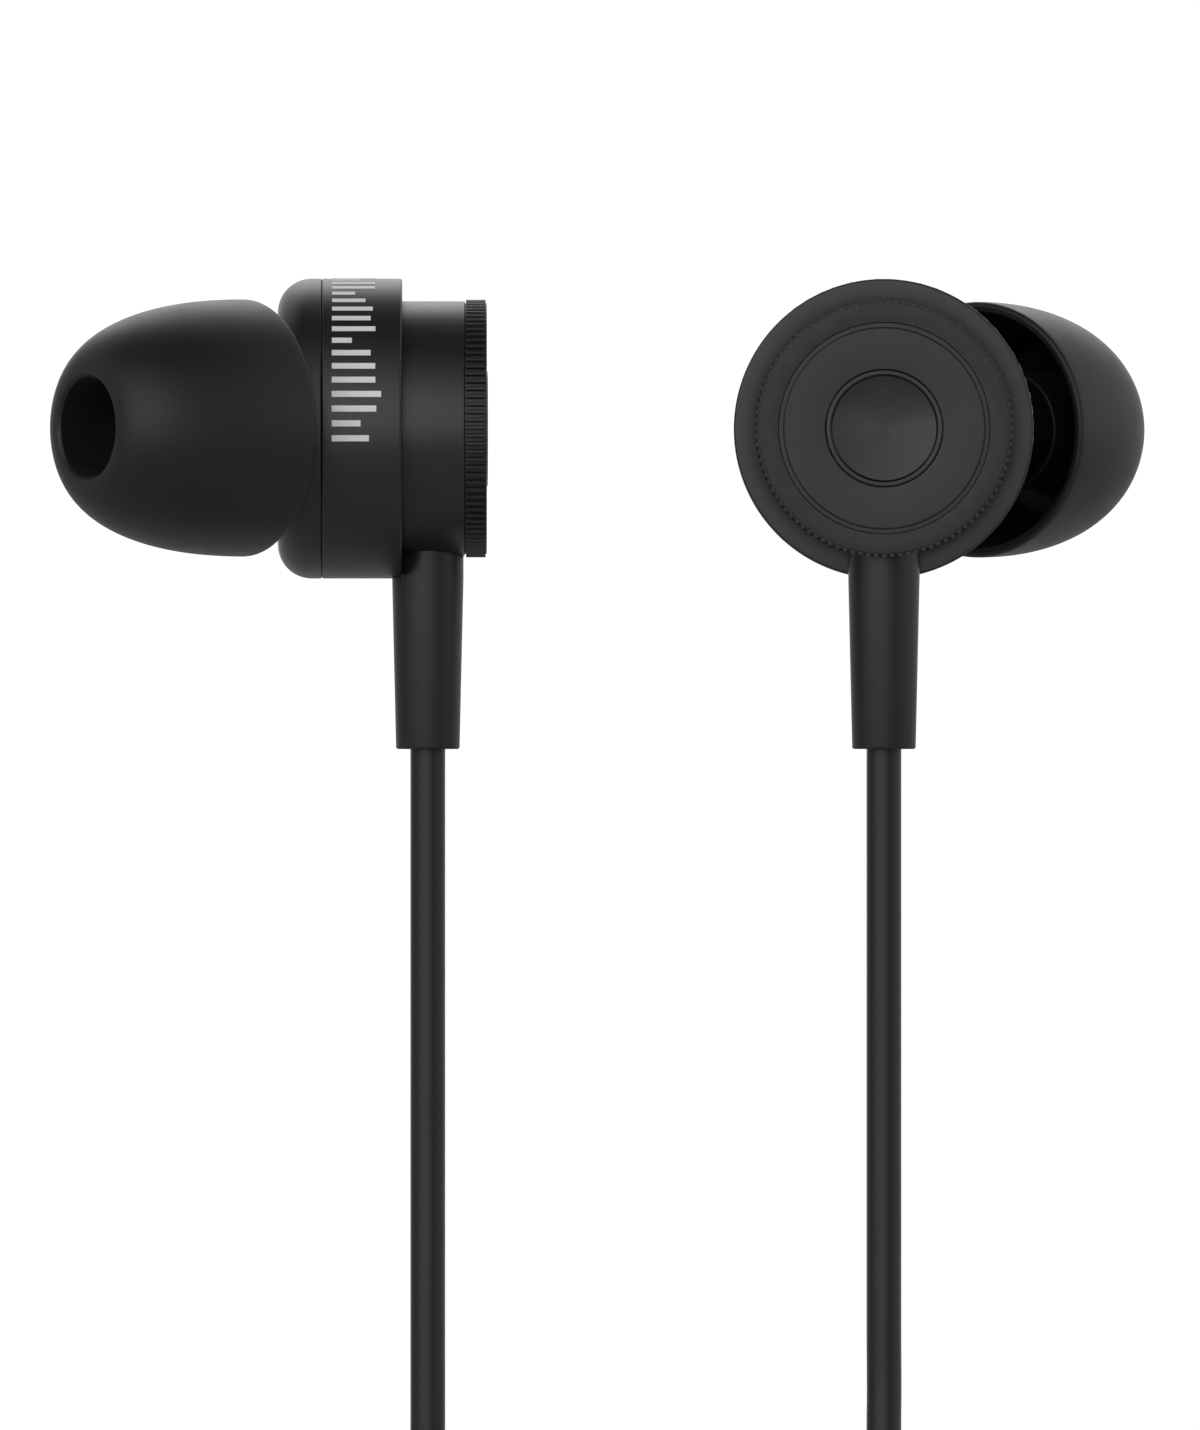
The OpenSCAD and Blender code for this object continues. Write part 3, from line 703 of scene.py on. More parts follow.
@cache
def knurl_pattern() -> Pattern:
    """Straight teeth round a ring: one rounded bar, repeated and turned about +Z."""
    p = Pattern("straight_knurl")
    teeth = p.size("Teeth", "NodeSocketInt")
    root = p.size("Root Radius")
    depth = p.size("Depth")
    width = p.size("Width")
    length = p.size("Length")
    low = p.size("Low")
    material = p.size("Material", "NodeSocketMaterial")
    thick = p.add("ShaderNodeMath", {"operation": "MULTIPLY"}, {0: depth, 1: 2.0})
    size = p.add("ShaderNodeCombineXYZ", inputs={0: thick.outputs[0], 1: width, 2: length})
    bar = p.add(
        "GeometryNodeMeshCube",
        inputs={"Size": size.outputs[0], "Vertices X": 2, "Vertices Y": 6, "Vertices Z": 2},
    )
    # The outer face is flat with rolled sides: it falls steeply with the distance from its middle
    where = p.add("ShaderNodeSeparateXYZ", inputs={0: p.add("GeometryNodeInputPosition").outputs[0]})
    half = p.add("ShaderNodeMath", {"operation": "MULTIPLY"}, {0: width, 1: 0.5})
    across = p.add("ShaderNodeMath", {"operation": "DIVIDE"}, {0: where.outputs[1], 1: half.outputs[0]})
    away = p.add("ShaderNodeMath", {"operation": "ABSOLUTE"}, {0: across.outputs[0]})
    steep = p.add("ShaderNodeMath", {"operation": "POWER"}, {0: away.outputs[0], 1: FLANK_POWER})
    most = p.add("ShaderNodeMath", {"operation": "MULTIPLY"}, {0: depth, 1: -FLANK_DROP})
    fall = p.add("ShaderNodeMath", {"operation": "MULTIPLY"}, {0: steep.outputs[0], 1: most.outputs[0]})
    outer = p.add("FunctionNodeCompare", {"data_type": "FLOAT"}, {0: where.outputs[0], 1: 0.0})
    drop = p.add("ShaderNodeCombineXYZ", inputs={0: fall.outputs[0]})
    tooth = p.add(
        "GeometryNodeSetPosition",
        inputs={"Geometry": bar.outputs[0], "Selection": outer.outputs[0], "Offset": drop.outputs[0]},
    )
    spots = p.add("GeometryNodeMeshCircle", inputs={"Vertices": teeth, "Radius": root})
    middle = p.add("ShaderNodeMath", {"operation": "MULTIPLY"}, {0: length, 1: 0.5})
    raised = p.add("ShaderNodeMath", {"operation": "ADD"}, {0: low, 1: middle.outputs[0]})
    up = p.add("ShaderNodeCombineXYZ", inputs={2: raised.outputs[0]})
    lifted = p.add("GeometryNodeSetPosition", inputs={"Geometry": spots.outputs[0], "Offset": up.outputs[0]})
    index = p.add("GeometryNodeInputIndex").outputs[0]
    whole = p.add("ShaderNodeMath", {"operation": "MULTIPLY"}, {0: index, 1: math.tau})
    turn = p.add("ShaderNodeMath", {"operation": "DIVIDE"}, {0: whole.outputs[0], 1: teeth})
    facing = p.add("ShaderNodeCombineXYZ", inputs={2: turn.outputs[0]})
    row = p.add(
        "GeometryNodeInstanceOnPoints",
        inputs={"Points": lifted.outputs[0], "Instance": tooth.outputs[0], "Rotation": facing.outputs[0]},
    )
    p.finish(row.outputs[0], material)
    return p


@cache
def fin_pattern() -> Pattern:
    """Round fins at even steps along +Z, each a little wider than the last."""
    p = Pattern("round_fins")
    count = p.size("Count", "NodeSocketInt")
    low = p.size("Low")
    pitch = p.size("Pitch")
    radius = p.size("Radius")
    growth = p.size("Growth")
    thickness = p.size("Thickness")
    material = p.size("Material", "NodeSocketMaterial")
    start = p.add("ShaderNodeCombineXYZ", inputs={2: low})
    step = p.add("ShaderNodeCombineXYZ", inputs={2: pitch})
    spots = p.add(
        "GeometryNodeMeshLine", {"mode": "OFFSET"}, {"Count": count, 2: start.outputs[0], 3: step.outputs[0]}
    )
    ring = p.add("GeometryNodeCurvePrimitiveCircle", inputs={"Resolution": 96, "Radius": 1.0})
    index = p.add("GeometryNodeInputIndex").outputs[0]
    wider = p.add("ShaderNodeMath", {"operation": "MULTIPLY_ADD"}, {0: index, 1: growth, 2: radius})
    row = p.add(
        "GeometryNodeInstanceOnPoints",
        inputs={"Points": spots.outputs[0], "Instance": ring.outputs[0], "Scale": wider.outputs[0]},
    )
    real = p.add("GeometryNodeRealizeInstances", inputs={"Geometry": row.outputs[0]})
    bead = p.add("GeometryNodeCurvePrimitiveCircle", inputs={"Resolution": 16, "Radius": thickness})
    fins = p.add(
        "GeometryNodeCurveToMesh", inputs={"Curve": real.outputs[0], "Profile Curve": bead.outputs[0]}
    )
    p.finish(fins.outputs[0], material)
    return p


@cache
def meter_pattern() -> Pattern:
    """Printed bars of uneven length round a band, like the levels of a sound meter."""
    p = Pattern("level_meter_print")
    count = p.size("Count", "NodeSocketInt")
    radius = p.size("Radius")
    low = p.size("Low")
    length = p.size("Length")
    stroke = p.size("Stroke")
    film = p.size("Film")
    first = p.size("First Angle")
    step = p.size("Angle Step")
    seed = p.size("Seed", "NodeSocketInt")
    material = p.size("Material", "NodeSocketMaterial")
    thick = p.add("ShaderNodeMath", {"operation": "MULTIPLY"}, {0: film, 1: 2.0})
    size = p.add("ShaderNodeCombineXYZ", inputs={0: thick.outputs[0], 1: stroke, 2: length})
    slab = p.add("GeometryNodeMeshCube", inputs={"Size": size.outputs[0]})
    half = p.add("ShaderNodeMath", {"operation": "MULTIPLY"}, {0: length, 1: -0.5})
    down = p.add("ShaderNodeCombineXYZ", inputs={2: half.outputs[0]})
    bar = p.add("GeometryNodeTransform", inputs={"Geometry": slab.outputs[0], "Translation": down.outputs[0]})
    index = p.add("GeometryNodeInputIndex").outputs[0]
    turn = p.add("ShaderNodeMath", {"operation": "MULTIPLY_ADD"}, {0: index, 1: step, 2: first}).outputs[0]
    place: dict[int, bpy.types.NodeSocket] = {}
    for i, operation in enumerate(("COSINE", "SINE")):
        share = p.add("ShaderNodeMath", {"operation": operation}, {0: turn})
        reach = p.add("ShaderNodeMath", {"operation": "MULTIPLY"}, {0: share.outputs[0], 1: radius})
        place[i] = reach.outputs[0]
    place[2] = p.add("ShaderNodeMath", {"operation": "ADD"}, {0: low, 1: length}).outputs[0]
    spot = p.add("ShaderNodeCombineXYZ", inputs=place)
    line = p.add("GeometryNodeMeshLine", inputs={"Count": count})
    spots = p.add(
        "GeometryNodeSetPosition", inputs={"Geometry": line.outputs[0], "Position": spot.outputs[0]}
    )
    level = p.add(
        "FunctionNodeRandomValue",
        {"data_type": "FLOAT"},
        {2: BAR_LEAST, 3: BAR_MOST, "ID": index, "Seed": seed},
    )
    stretch = p.add("ShaderNodeCombineXYZ", inputs={0: 1.0, 1: 1.0, 2: level.outputs[1]})
    facing = p.add("ShaderNodeCombineXYZ", inputs={2: turn})
    row = p.add(
        "GeometryNodeInstanceOnPoints",
        inputs={
            "Points": spots.outputs[0],
            "Instance": bar.outputs[0],
            "Rotation": facing.outputs[0],
            "Scale": stretch.outputs[0],
        },
    )
    p.finish(row.outputs[0], material)
    return p


@cache
def rib_pattern() -> Pattern:
    """Upright ribs round a band whose plan is a rectangle with rounded corners."""
    p = Pattern("band_ribs")
    width = p.size("Width")
    depth = p.size("Depth")
    corner = p.size("Corner")
    height = p.size("Height")
    rib = p.size("Rib")
    count = p.size("Count", "NodeSocketInt")
    material = p.size("Material", "NodeSocketMaterial")
    plan = p.add("GeometryNodeCurvePrimitiveQuadrilateral", inputs={"Width": width, "Height": depth})
    rounded = p.add(
        "GeometryNodeFilletCurve", {"mode": "POLY"}, {"Curve": plan.outputs[0], "Count": 8, "Radius": corner}
    )
    spots = p.add(
        "GeometryNodeCurveToPoints", {"mode": "COUNT"}, {"Curve": rounded.outputs[0], "Count": count}
    )
    bar = p.add("GeometryNodeMeshCylinder", inputs={"Vertices": 12, "Radius": rib, "Depth": height})
    row = p.add(
        "GeometryNodeInstanceOnPoints", inputs={"Points": spots.outputs[0], "Instance": bar.outputs[0]}
    )
    p.finish(row.outputs[0], material)
    return p


# ---------- sub-assemblies ----------


class SubAssembly:
    """Pieces that are dressed and handed to the frame in the same way."""

    def fit(
        self, piece: bpy.types.Object, finish: Finish, *nodes: str, body: str = "root", angle: float = 32.0
    ) -> bpy.types.Object:
        """Dresses a piece, sets it on its body and lets it stand for its CAD nodes.

        Args:
            piece: the finished shape, in place.
            finish: its finish; a piece that already has materials keeps them.
            nodes: the CAD nodes that it stands for.
            body: the body that it moves with.
            angle: edges sharper than this many degrees stay sharp.

        Returns:
            The piece.
        """
        if not piece.data.materials:
            piece.data.materials.append(finish.material())
        if piece.type == "MESH":
            smooth(piece, angle)
        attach(piece, body)
        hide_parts(*nodes)
        log.info("%s stands for %s on %s", piece.name, ", ".join(nodes), body)
        return piece


# ---------- the cables ----------


@dataclass(frozen=True)
class Winding:
    """The stored cable's folds: where they turn and how the runs are drawn in between them."""

    top: float = 70.0
    low: float = 114.0
    waist: float = 4.9
    ease: float = 12.0
    step: float = 5.5
    fold_points: int = 9

    def drawn_in(self, depth: float) -> float:
        """How far a run is drawn in at a depth below the body axis."""
        parts = ((depth - self.top) / self.ease, (self.low - depth) / self.ease)
        first, last = (min(1.0, max(0.0, p)) for p in parts)
        return self.waist * first * first * (3 - 2 * first) * last * last * (3 - 2 * last)

    def run(self, side: int, radius: float, y: float, start: float, end: float) -> list[Vector]:
        """Points of a straight run from one depth to another; side is -1 left or 1 right.

        Args:
            side: which side of the fold it lies on.
            radius: the radius of its folds.
            y: how far back it lies.
            start: the depth of its first point.
            end: the depth of its last point.

        Returns:
            The points in order, both ends included.
        """
        count = max(1, round(abs(end - start) / self.step))
        depths = [start + (end - start) * i / count for i in range(count + 1)]
        return [Vector((side * (radius - self.drawn_in(d)), y, -d)) for d in depths]

    def fold(
        self, side: int, depth: float, radii: tuple[float, float], ys: tuple[float, float]
    ) -> list[Vector]:
        """Points of a half turn, without its two ends.

        Args:
            side: the side that it starts on.
            depth: the depth of its middle.
            radii: its radius at the start and at the end.
            ys: how far back it lies at the start and at the end.

        Returns:
            The points in order.
        """
        up = 1 if depth == self.top else -1
        points = []
        for i in range(1, self.fold_points + 1):
            part = i / (self.fold_points + 1)
            eased = part * part * (3 - 2 * part)
            radius = radii[0] + (radii[1] - radii[0]) * eased
            y = ys[0] + (ys[1] - ys[0]) * eased
            turn = math.pi * part
            points.append(Vector((side * radius * math.cos(turn), y, -depth + up * radius * math.sin(turn))))
        return points

    def turns(self, layers: Sequence[tuple[float, float]], shift: float) -> list[Vector]:
        """Points of whole turns, each down the left, round the bottom and up the right.

        Args:
            layers: for each turn how far back it lies and the radius of its folds.
            shift: how far back the last top fold goes on from the last turn.

        Returns:
            The points from the first left run to the last right run.
        """
        points: list[Vector] = []
        for i, (y, radius) in enumerate(layers):
            points += self.run(-1, radius, y, self.top + 1.0, self.low)
            points += self.fold(-1, self.low, (radius, radius), (y, y))
            points += self.run(1, radius, y, self.low, self.top)
            after = layers[i + 1] if i + 1 < len(layers) else (y + shift, radius)
            points += self.fold(1, self.top, (radius, after[1]), (y, after[0]))
        return points


@dataclass
class Cables(SubAssembly):
    """Both earpiece cables, the splitter, the main cable and the tie that holds the folds."""

    branch_r: float = 0.85
    main_r: float = 1.0
    ear_x: float = 11.1
    start: float = 4.0
    exit: float = 15.6
    outer_fold: float = 8.0
    inner_fold: float = 6.0
    splitter_y: float = -2.3
    splitter_top: float = 83.0
    splitter_low: float = 94.0
    winding: Winding = field(default_factory=Winding)

    LEFT_LEAD = (
        (-11.1, 0, -51), (-11, -0.5, -54.5), (-10.5, -1.8, -58), (-9.8, -3.3, -61.5), (-9, -4.5, -65),
        (-8.3, -5.2, -68),
    )
    RIGHT_LEAD = (
        (11, -0.2, -51), (10.2, -1, -54), (8, -2.4, -56.4), (4.8, -4.1, -58), (1, -5.6, -59.6),
        (-2.6, -6.6, -61.6), (-5.6, -7.1, -64.2), (-7.4, -7.2, -67.2),
    )
    TAIL = (
        (-1.1, 1.1, -100.5), (-0.9, -0.2, -104), (-0.4, -3, -107), (0, -6.6, -109), (0, -9.6, -111.4),
        (0, -11, -114.6), (0, -11.2, -118), (0, -11.2, -120),
    )
    LAYERS = (1.2, 3.27, 5.34)
    LAST_LAYER = 7.41

    def branch(self, side: Side) -> bpy.types.Object:
        """One earpiece's cable, from inside the housing to inside the splitter.

        Args:
            side: the earpiece.

        Returns:
            The cable's curve.
        """
        left = side is Side.LEFT
        x = -self.ear_x if left else self.ear_x
        y = -5.4 if left else -7.2
        drop = [Vector((x, 0, -self.start))] + [Vector((x, 0, -z)) for z in range(8, 49, 4)]
        lead = [Vector(p) for p in (self.LEFT_LEAD if left else self.RIGHT_LEAD)]
        w, r = self.winding, self.outer_fold
        first = w.turns([(y, r)], 4.0)
        back = y + 4.0
        second = w.run(-1, r, back, w.top + 1.0, w.low) + w.fold(-1, w.low, (r, r), (back, back))
        last = w.run(1, r, back, w.low, self.splitter_low - 2.5)
        cable = centreline(f"{side.value}_cable_laid", drop + lead + first + second + last, self.branch_r)
        return self.fit(cable, JACKET, f"{side.value}_cable", "branch_hank")

    def main(self) -> bpy.types.Object:
        """The main cable, from inside the splitter to inside the plug."""
        w, outer, inner = self.winding, self.outer_fold, self.inner_fold
        first, y = self.LAYERS[0], self.splitter_y
        points = w.run(1, outer, y, self.splitter_top + 2.0, w.top)
        points += w.fold(1, w.top, (outer, outer), (y, first))
        points += w.turns([(layer, outer) for layer in self.LAYERS], self.LAST_LAYER - self.LAYERS[-1])
        points += w.run(-1, outer, self.LAST_LAYER, w.top + 1.0, w.low)
        points += w.fold(-1, w.low, (outer, inner), (self.LAST_LAYER, self.LAST_LAYER))
        points += w.run(1, inner, self.LAST_LAYER, w.low, w.top)
        points += w.fold(1, w.top, (inner, inner), (self.LAST_LAYER, self.LAYERS[-1]))
        points += w.turns([(layer, inner) for layer in self.LAYERS[:0:-1]], first - self.LAYERS[1])
        points += w.run(-1, inner, first, w.top + 1.0, 97.0)
        points += [Vector(p) for p in self.TAIL]
        cable = centreline("main_cable_laid", points, self.main_r)
        return self.fit(cable, JACKET, "main_hank", "main_tail")

    def splitter(self) -> bpy.types.Object:
        """The moulded splitter: square where both cables enter, round where the main one leaves."""
        body = loft(
            "cable_splitter_moulded",
            [
                (0.0, 1.25, 1.95, 4.0), (0.12, 1.45, 2.15, 4.2), (0.4, 1.62, 2.32, 4.4),
                (0.9, 1.7, 2.4, 4.6), (3.5, 1.7, 2.4, 4.6), (6.4, 1.7, 2.4, 4.4),
                (7.4, 1.68, 2.32, 4.0), (8.4, 1.6, 2.08, 3.3), (9.4, 1.5, 1.76, 2.6),
                (10.2, 1.42, 1.5, 2.2), (10.75, 1.38, 1.4, 2.0), (10.93, 1.32, 1.34, 2.0),
                (11.0, 1.2, 1.2, 2.0),
            ],
        )
        x = self.outer_fold - self.winding.waist
        put(body, Axis(Vector((x, self.splitter_y, -self.splitter_low)) * MM, UP, Vector((1, 0, 0))))
        return self.fit(body, SPLITTER_RUBBER, "cable_splitter", angle=50)

    def tie(self) -> bpy.types.Object:
        """The vinyl strip round the folds, with upright ribs pressed into it."""
        low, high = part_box("cable_tie")
        wall, corner, least_turn, corner_steps = 0.7, 1.0, 0.3, 8
        # How far the band's edges are eased inside and outside
        inner_ease, outer_ease = 0.12, 0.1
        wide, deep = ((high - low) / MM / 2).xy
        height = (high.z - low.z) / MM

        def plan(inset: float) -> list[tuple[float, float]]:
            """Corner points of the band's plan, set in by a distance."""
            turn = max(least_turn, corner - inset)
            across, along = wide - inset - turn, deep - inset - turn
            points = []
            for x, y, start in ((1, 1, 0), (-1, 1, 90), (-1, -1, 180), (1, -1, 270)):
                for i in range(corner_steps + 1):
                    a = math.radians(start + 90 * i / corner_steps)
                    points.append((x * across + turn * math.cos(a), y * along + turn * math.sin(a)))
            return points

        def build(bm: bmesh.types.BMesh) -> None:
            """Fills the mesh with the band's section taken round its plan."""
            section = [
                (0.0, inner_ease), (0.0, height - inner_ease), (inner_ease, height),
                (wall - outer_ease, height), (wall, height - outer_ease), (wall, outer_ease),
                (wall - outer_ease, 0.0), (inner_ease, 0.0),
            ]
            rings = [[bm.verts.new((x, y, z)) for x, y in plan(inset)] for inset, z in section]
            skin_rings(bm, rings, closed=True)

        band = object_of("band", mesh_of("band", build))
        band.data.materials.append(TIE_VINYL.material())
        rib_r, rib_count, rib_sink, rib_short = 0.1, 88, 0.06, 0.5
        ribs = rib_pattern().grow(
            Width=2 * wide - rib_sink, Depth=2 * deep - rib_sink, Corner=corner, Height=height - rib_short,
            Rib=rib_r, Count=rib_count, Material=TIE_VINYL.material(),
        )
        ribs.data.transform(Matrix.Translation((0, 0, height / 2)))
        strip = join("cable_tie_ribbed", band, ribs)
        middle = (low + high) / 2
        put(strip, Axis(Vector((middle.x, middle.y, low.z)), UP, Vector((1, 0, 0))))
        return self.fit(strip, TIE_VINYL, "cable_tie", angle=40)

    def declare(
        self, branches: dict[Side, bpy.types.Object], main: bpy.types.Object, plug: list[bpy.types.Object]
    ) -> None:
        """Makes the splitter and the tie.

        Args:
            branches: the two earpiece cables; not used.
            main: the main cable; not used.
            plug: the plug's pieces; not used.
        """
        splitter = self.splitter()
        self.tie()


# ---------- the plug ----------


@dataclass
class Plug(SubAssembly):
    """The 3.5 mm plug.

    Sizes count down from the top of its strain relief, and those of the contacts from the grip's face.
    """

    top: tuple[float, float, float] = (0.0, -11.2, -118.0)
    relief: float = 8.0
    grip: float = 15.0
    grip_r: float = 2.8
    pin_r: float = 1.75
    root_r: float = 1.5
    bore: float = 1.05
    bore_end: float = 2.0
    relief_top_r: float = 1.45
    relief_low_r: float = 1.9
    grip_bore: float = 1.51
    rooted: float = 5.0
    ring_rooted: float = 4.5
    tip_rooted: float = 4.0
    sleeve_in: float = 1.3
    sleeve_end: float = 7.1
    ring_in: float = 0.7
    ring_stem: float = 1.0
    ring_start: float = 7.8
    ring_end: float = 9.7
    tip_stem: float = 0.5
    tip_start: float = 10.4
    full_end: float = 10.9
    pin_end: float = 14.0
    gap: float = 0.7
    play: float = 0.01

    def build(self) -> list[bpy.types.Object]:
        """Makes the plug's pieces.

        Returns:
            The pieces in order from the cable.
        """
        axis = Axis(Vector(self.top) * MM, DOWN, Vector((1, 0, 0)))
        face = self.relief + self.grip
        cone = lathe(
            "cone",
            outline(
                [(self.bore, 0, 0.05), (self.relief_top_r, 0, 0.12), (self.relief_low_r, self.relief, 0),
                 (0, self.relief, 0), (0, self.bore_end, 0), (self.bore, self.bore_end, 0)]
            ),
        )
        cone.data.materials.append(RELIEF_RUBBER.material())
        fins = fin_pattern().grow(
            Count=4, Low=1.95, Pitch=1.6, Radius=1.51, Growth=0.16, Thickness=0.35,
            Material=RELIEF_RUBBER.material(),
        )
        relief = put(join("plug_strain_relief_finned", cone, fins), axis)
        grip = lathe(
            "plug_grip_moulded",
            outline(
                [(0, self.relief, 0), (self.grip_r, self.relief, 0.45), (self.grip_r, face, 0.6),
                 (self.grip_bore, face, 0.05), (self.grip_bore, face - self.rooted, 0),
                 (0, face - self.rooted, 0)], 8,
            ),
            axis,
        )
        sleeve = lathe(
            "plug_sleeve_turned",
            outline(
                [(self.sleeve_in, face - self.rooted, 0), (self.root_r, face - self.rooted, 0),
                 (self.root_r, face, 0), (self.pin_r, face, 0.06),
                 (self.pin_r, face + self.sleeve_end, 0.04), (self.sleeve_in, face + self.sleeve_end, 0)]
            ),
            axis,
        )
        ring = lathe(
            "plug_ring_turned",
            outline(
                [(self.ring_in, face - self.ring_rooted, 0), (self.ring_stem, face - self.ring_rooted, 0),
                 (self.ring_stem, face + self.ring_start, 0), (self.pin_r, face + self.ring_start, 0.04),
                 (self.pin_r, face + self.ring_end, 0.04), (self.ring_in, face + self.ring_end, 0)]
            ),
            axis,
        )
        tip = lathe(
            "plug_tip_turned",
            outline(
                [(0, face - self.tip_rooted, 0), (self.tip_stem, face - self.tip_rooted, 0),
                 (self.tip_stem, face + self.tip_start, 0), (self.pin_r, face + self.tip_start, 0.04),
                 (self.pin_r, face + self.full_end, 0.12), (1.25, face + 11.6, 0.3),
                 (1.72, face + 12.45, 0.45), (0.6, face + self.pin_end, 0.35),
                 (0, face + self.pin_end, 0)], 8,
            ),
            axis,
        )
        gaps = [
            lathe(
                "gap",
                outline(
                    [(inner, low, 0), (self.pin_r - self.play, low, 0.02),
                     (self.pin_r - self.play, low + self.gap, 0.02), (inner, low + self.gap, 0)]
                ),
                axis,
            )
            for inner, low in (
                (self.ring_stem + self.play, face + self.sleeve_end),
                (self.tip_stem + self.play, face + self.ring_end),
            )
        ]
        insulators = join("plug_insulators_moulded", *gaps)
        return [
            self.fit(relief, RELIEF_RUBBER, "plug_strain_relief", angle=45),
            self.fit(grip, GRIP_ABS, "plug_grip"),
            self.fit(sleeve, GOLD, "plug_sleeve"),
            self.fit(ring, GOLD, "plug_ring"),
            self.fit(tip, GOLD, "plug_tip"),
            self.fit(insulators, INSULATOR, "plug_insulators"),
        ]


# ---------- the earpieces ----------


@dataclass
class Earpiece(SubAssembly):
    """One earpiece: its housing, back cap, nozzle, tip, strain relief and driver.

    Sizes are in millimetres. Those along the body count from the cable's axis towards the ear, and
    those along the nozzle from where the nozzle's axis meets the body's.
    """

    side: Side
    ear_x: float = 11.1
    tilt: float = 34.0
    nozzle_root: float = 2.1
    ring_back: float = -2.87
    barrel_back: float = -1.8
    shell_rear: float = 1.25
    seam: float = 5.15
    nose_front: float = 7.3
    nose_round: float = 1.65
    nose_wall: float = 0.9
    spigot_end: float = 4.25
    driver_seat: float = 3.1
    barrel_r: float = 6.2
    barrel_in: float = 5.4
    body_r: float = 7.3
    collar_r: float = 2.91
    cap_r: float = 5.13
    badge_r: float = 2.85
    badge_sink: float = 0.45
    rim: float = 8.05
    tip_r: float = 6.25
    tip_len: float = 9.35
    dome_power: float = 2.3
    front_r: float = 2.7
    core_in: float = 2.47
    core_out: float = 2.92
    core_end: float = 2.7
    skirt: float = 0.5
    front_wall: float = 1.6
    relief_end: float = 15.6
    relief_top: float = 4.7
    relief_r: float = 1.74
    relief_taper: float = 7.3
    relief_low_r: float = 1.55
    cable_bore: float = 0.9
    play: float = 0.02
    bars: int = 24
    bars_from: float = -94.0
    bars_to: float = 36.0
    teeth: int = 100
    ring_r: float = 6.11
    tooth_gap: float = 0.06
    cap_flat_r: float = 4.85
    cap_line_r: float = 4.93
    cap_line_depth: float = 0.08
    cap_flange_r: float = 5.38
    cap_flange_end: float = -1.3
    cap_plug_r: float = 4.68
    cap_plug_end: float = -1.92
    badge_dish: float = 0.3
    badge_slope_r: float = 2.53
    badge_rim_in: float = 2.63
    badge_rim_out: float = 2.8
    badge_proud: float = 0.05

    body_axis: Axis = field(init=False)
    nozzle_axis: Axis = field(init=False)
    drop_axis: Axis = field(init=False)

    def __post_init__(self) -> None:
        """Works out the three lines that the earpiece is built along."""
        left = self.side is Side.LEFT
        along = Vector((-1, 0, 0)) if left else Vector((0, 1, 0))
        other = Vector((0, -1, 0)) if left else Vector((1, 0, 0))
        origin = Vector((-self.ear_x if left else self.ear_x, 0, 0)) * MM
        turn = math.radians(self.tilt)
        self.body_axis = Axis(origin, along)
        nozzle = along * math.cos(turn) + other * math.sin(turn)
        self.nozzle_axis = Axis(origin + along * self.nozzle_root * MM, nozzle)
        self.drop_axis = Axis(origin, DOWN, Vector((1, 0, 0)))

    def node(self, name: str) -> str:
        """The CAD node's name on this side."""
        return f"{self.side.value}_{name}"

    def build(self) -> None:
        """Makes every piece of the earpiece."""
        self.housing()
        self.back()
        self.nozzle_parts()
        self.ear_tip()
        self.strain_relief()
        self.driver()

    def housing(self) -> None:
        """The nose shell, the middle shell with its printed band, and the rear barrel."""
        spigot_in = self.barrel_in - 0.1
        front_in = self.nose_front - self.nose_wall
        nose = lathe(
            self.node("nose_shell_coated"),
            outline(
                [(spigot_in, self.spigot_end, 0.03), (self.barrel_r, self.spigot_end, 0.05),
                 (self.barrel_r, self.seam, 0), (self.body_r, self.seam, 0.09),
                 (self.body_r, self.nose_front, self.nose_round), (0, self.nose_front, 0),
                 (0, front_in, 0), (spigot_in, front_in, 0.3)], 14,
            ),
            self.body_axis, 192,
        )
        carve(nose, rod(self.nozzle_axis, 0, 20, self.collar_r))
        self.fit(nose, SOFT_COAT, self.node("nose_shell"))

        shell = lathe(
            "shell",
            outline(
                [(self.barrel_r + self.play, self.shell_rear, 0.03), (self.body_r, self.shell_rear, 0.12),
                 (self.body_r, self.seam, 0.09), (self.barrel_r + self.play, self.seam, 0.02)], 6,
            ),
            segments=192,
        )
        shell.data.materials.append(BAND_COAT.material())
        # Angles count from the top towards the wearer's front on the left and are mirrored on the right
        mirror = 1 if self.side is Side.LEFT else -1
        step = (self.bars_to - self.bars_from) / (self.bars - 1)
        marks = meter_pattern().grow(
            Count=self.bars, Radius=self.body_r, Low=2.16, Length=2.48, Stroke=0.3, Film=0.02,
            First_Angle=math.radians(mirror * self.bars_from), Angle_Step=math.radians(mirror * step),
            Seed=11, Material=PRINT_INK.material(),
        )
        printed = put(join(self.node("middle_shell_printed"), shell, marks), self.body_axis)
        self.fit(printed, BAND_COAT, self.node("middle_shell"))

        barrel = lathe(
            self.node("rear_barrel_coated"),
            outline(
                [(self.barrel_in, self.barrel_back, 0.04), (self.barrel_r, self.barrel_back, 0.04),
                 (self.barrel_r, self.driver_seat, 0.04), (self.barrel_in, self.driver_seat, 0.04)]
            ),
            self.body_axis, 192,
        )
        carve(barrel, rod(self.drop_axis, 4.5, 7.5, 1.26))
        self.fit(barrel, SOFT_COAT, self.node("rear_barrel"))

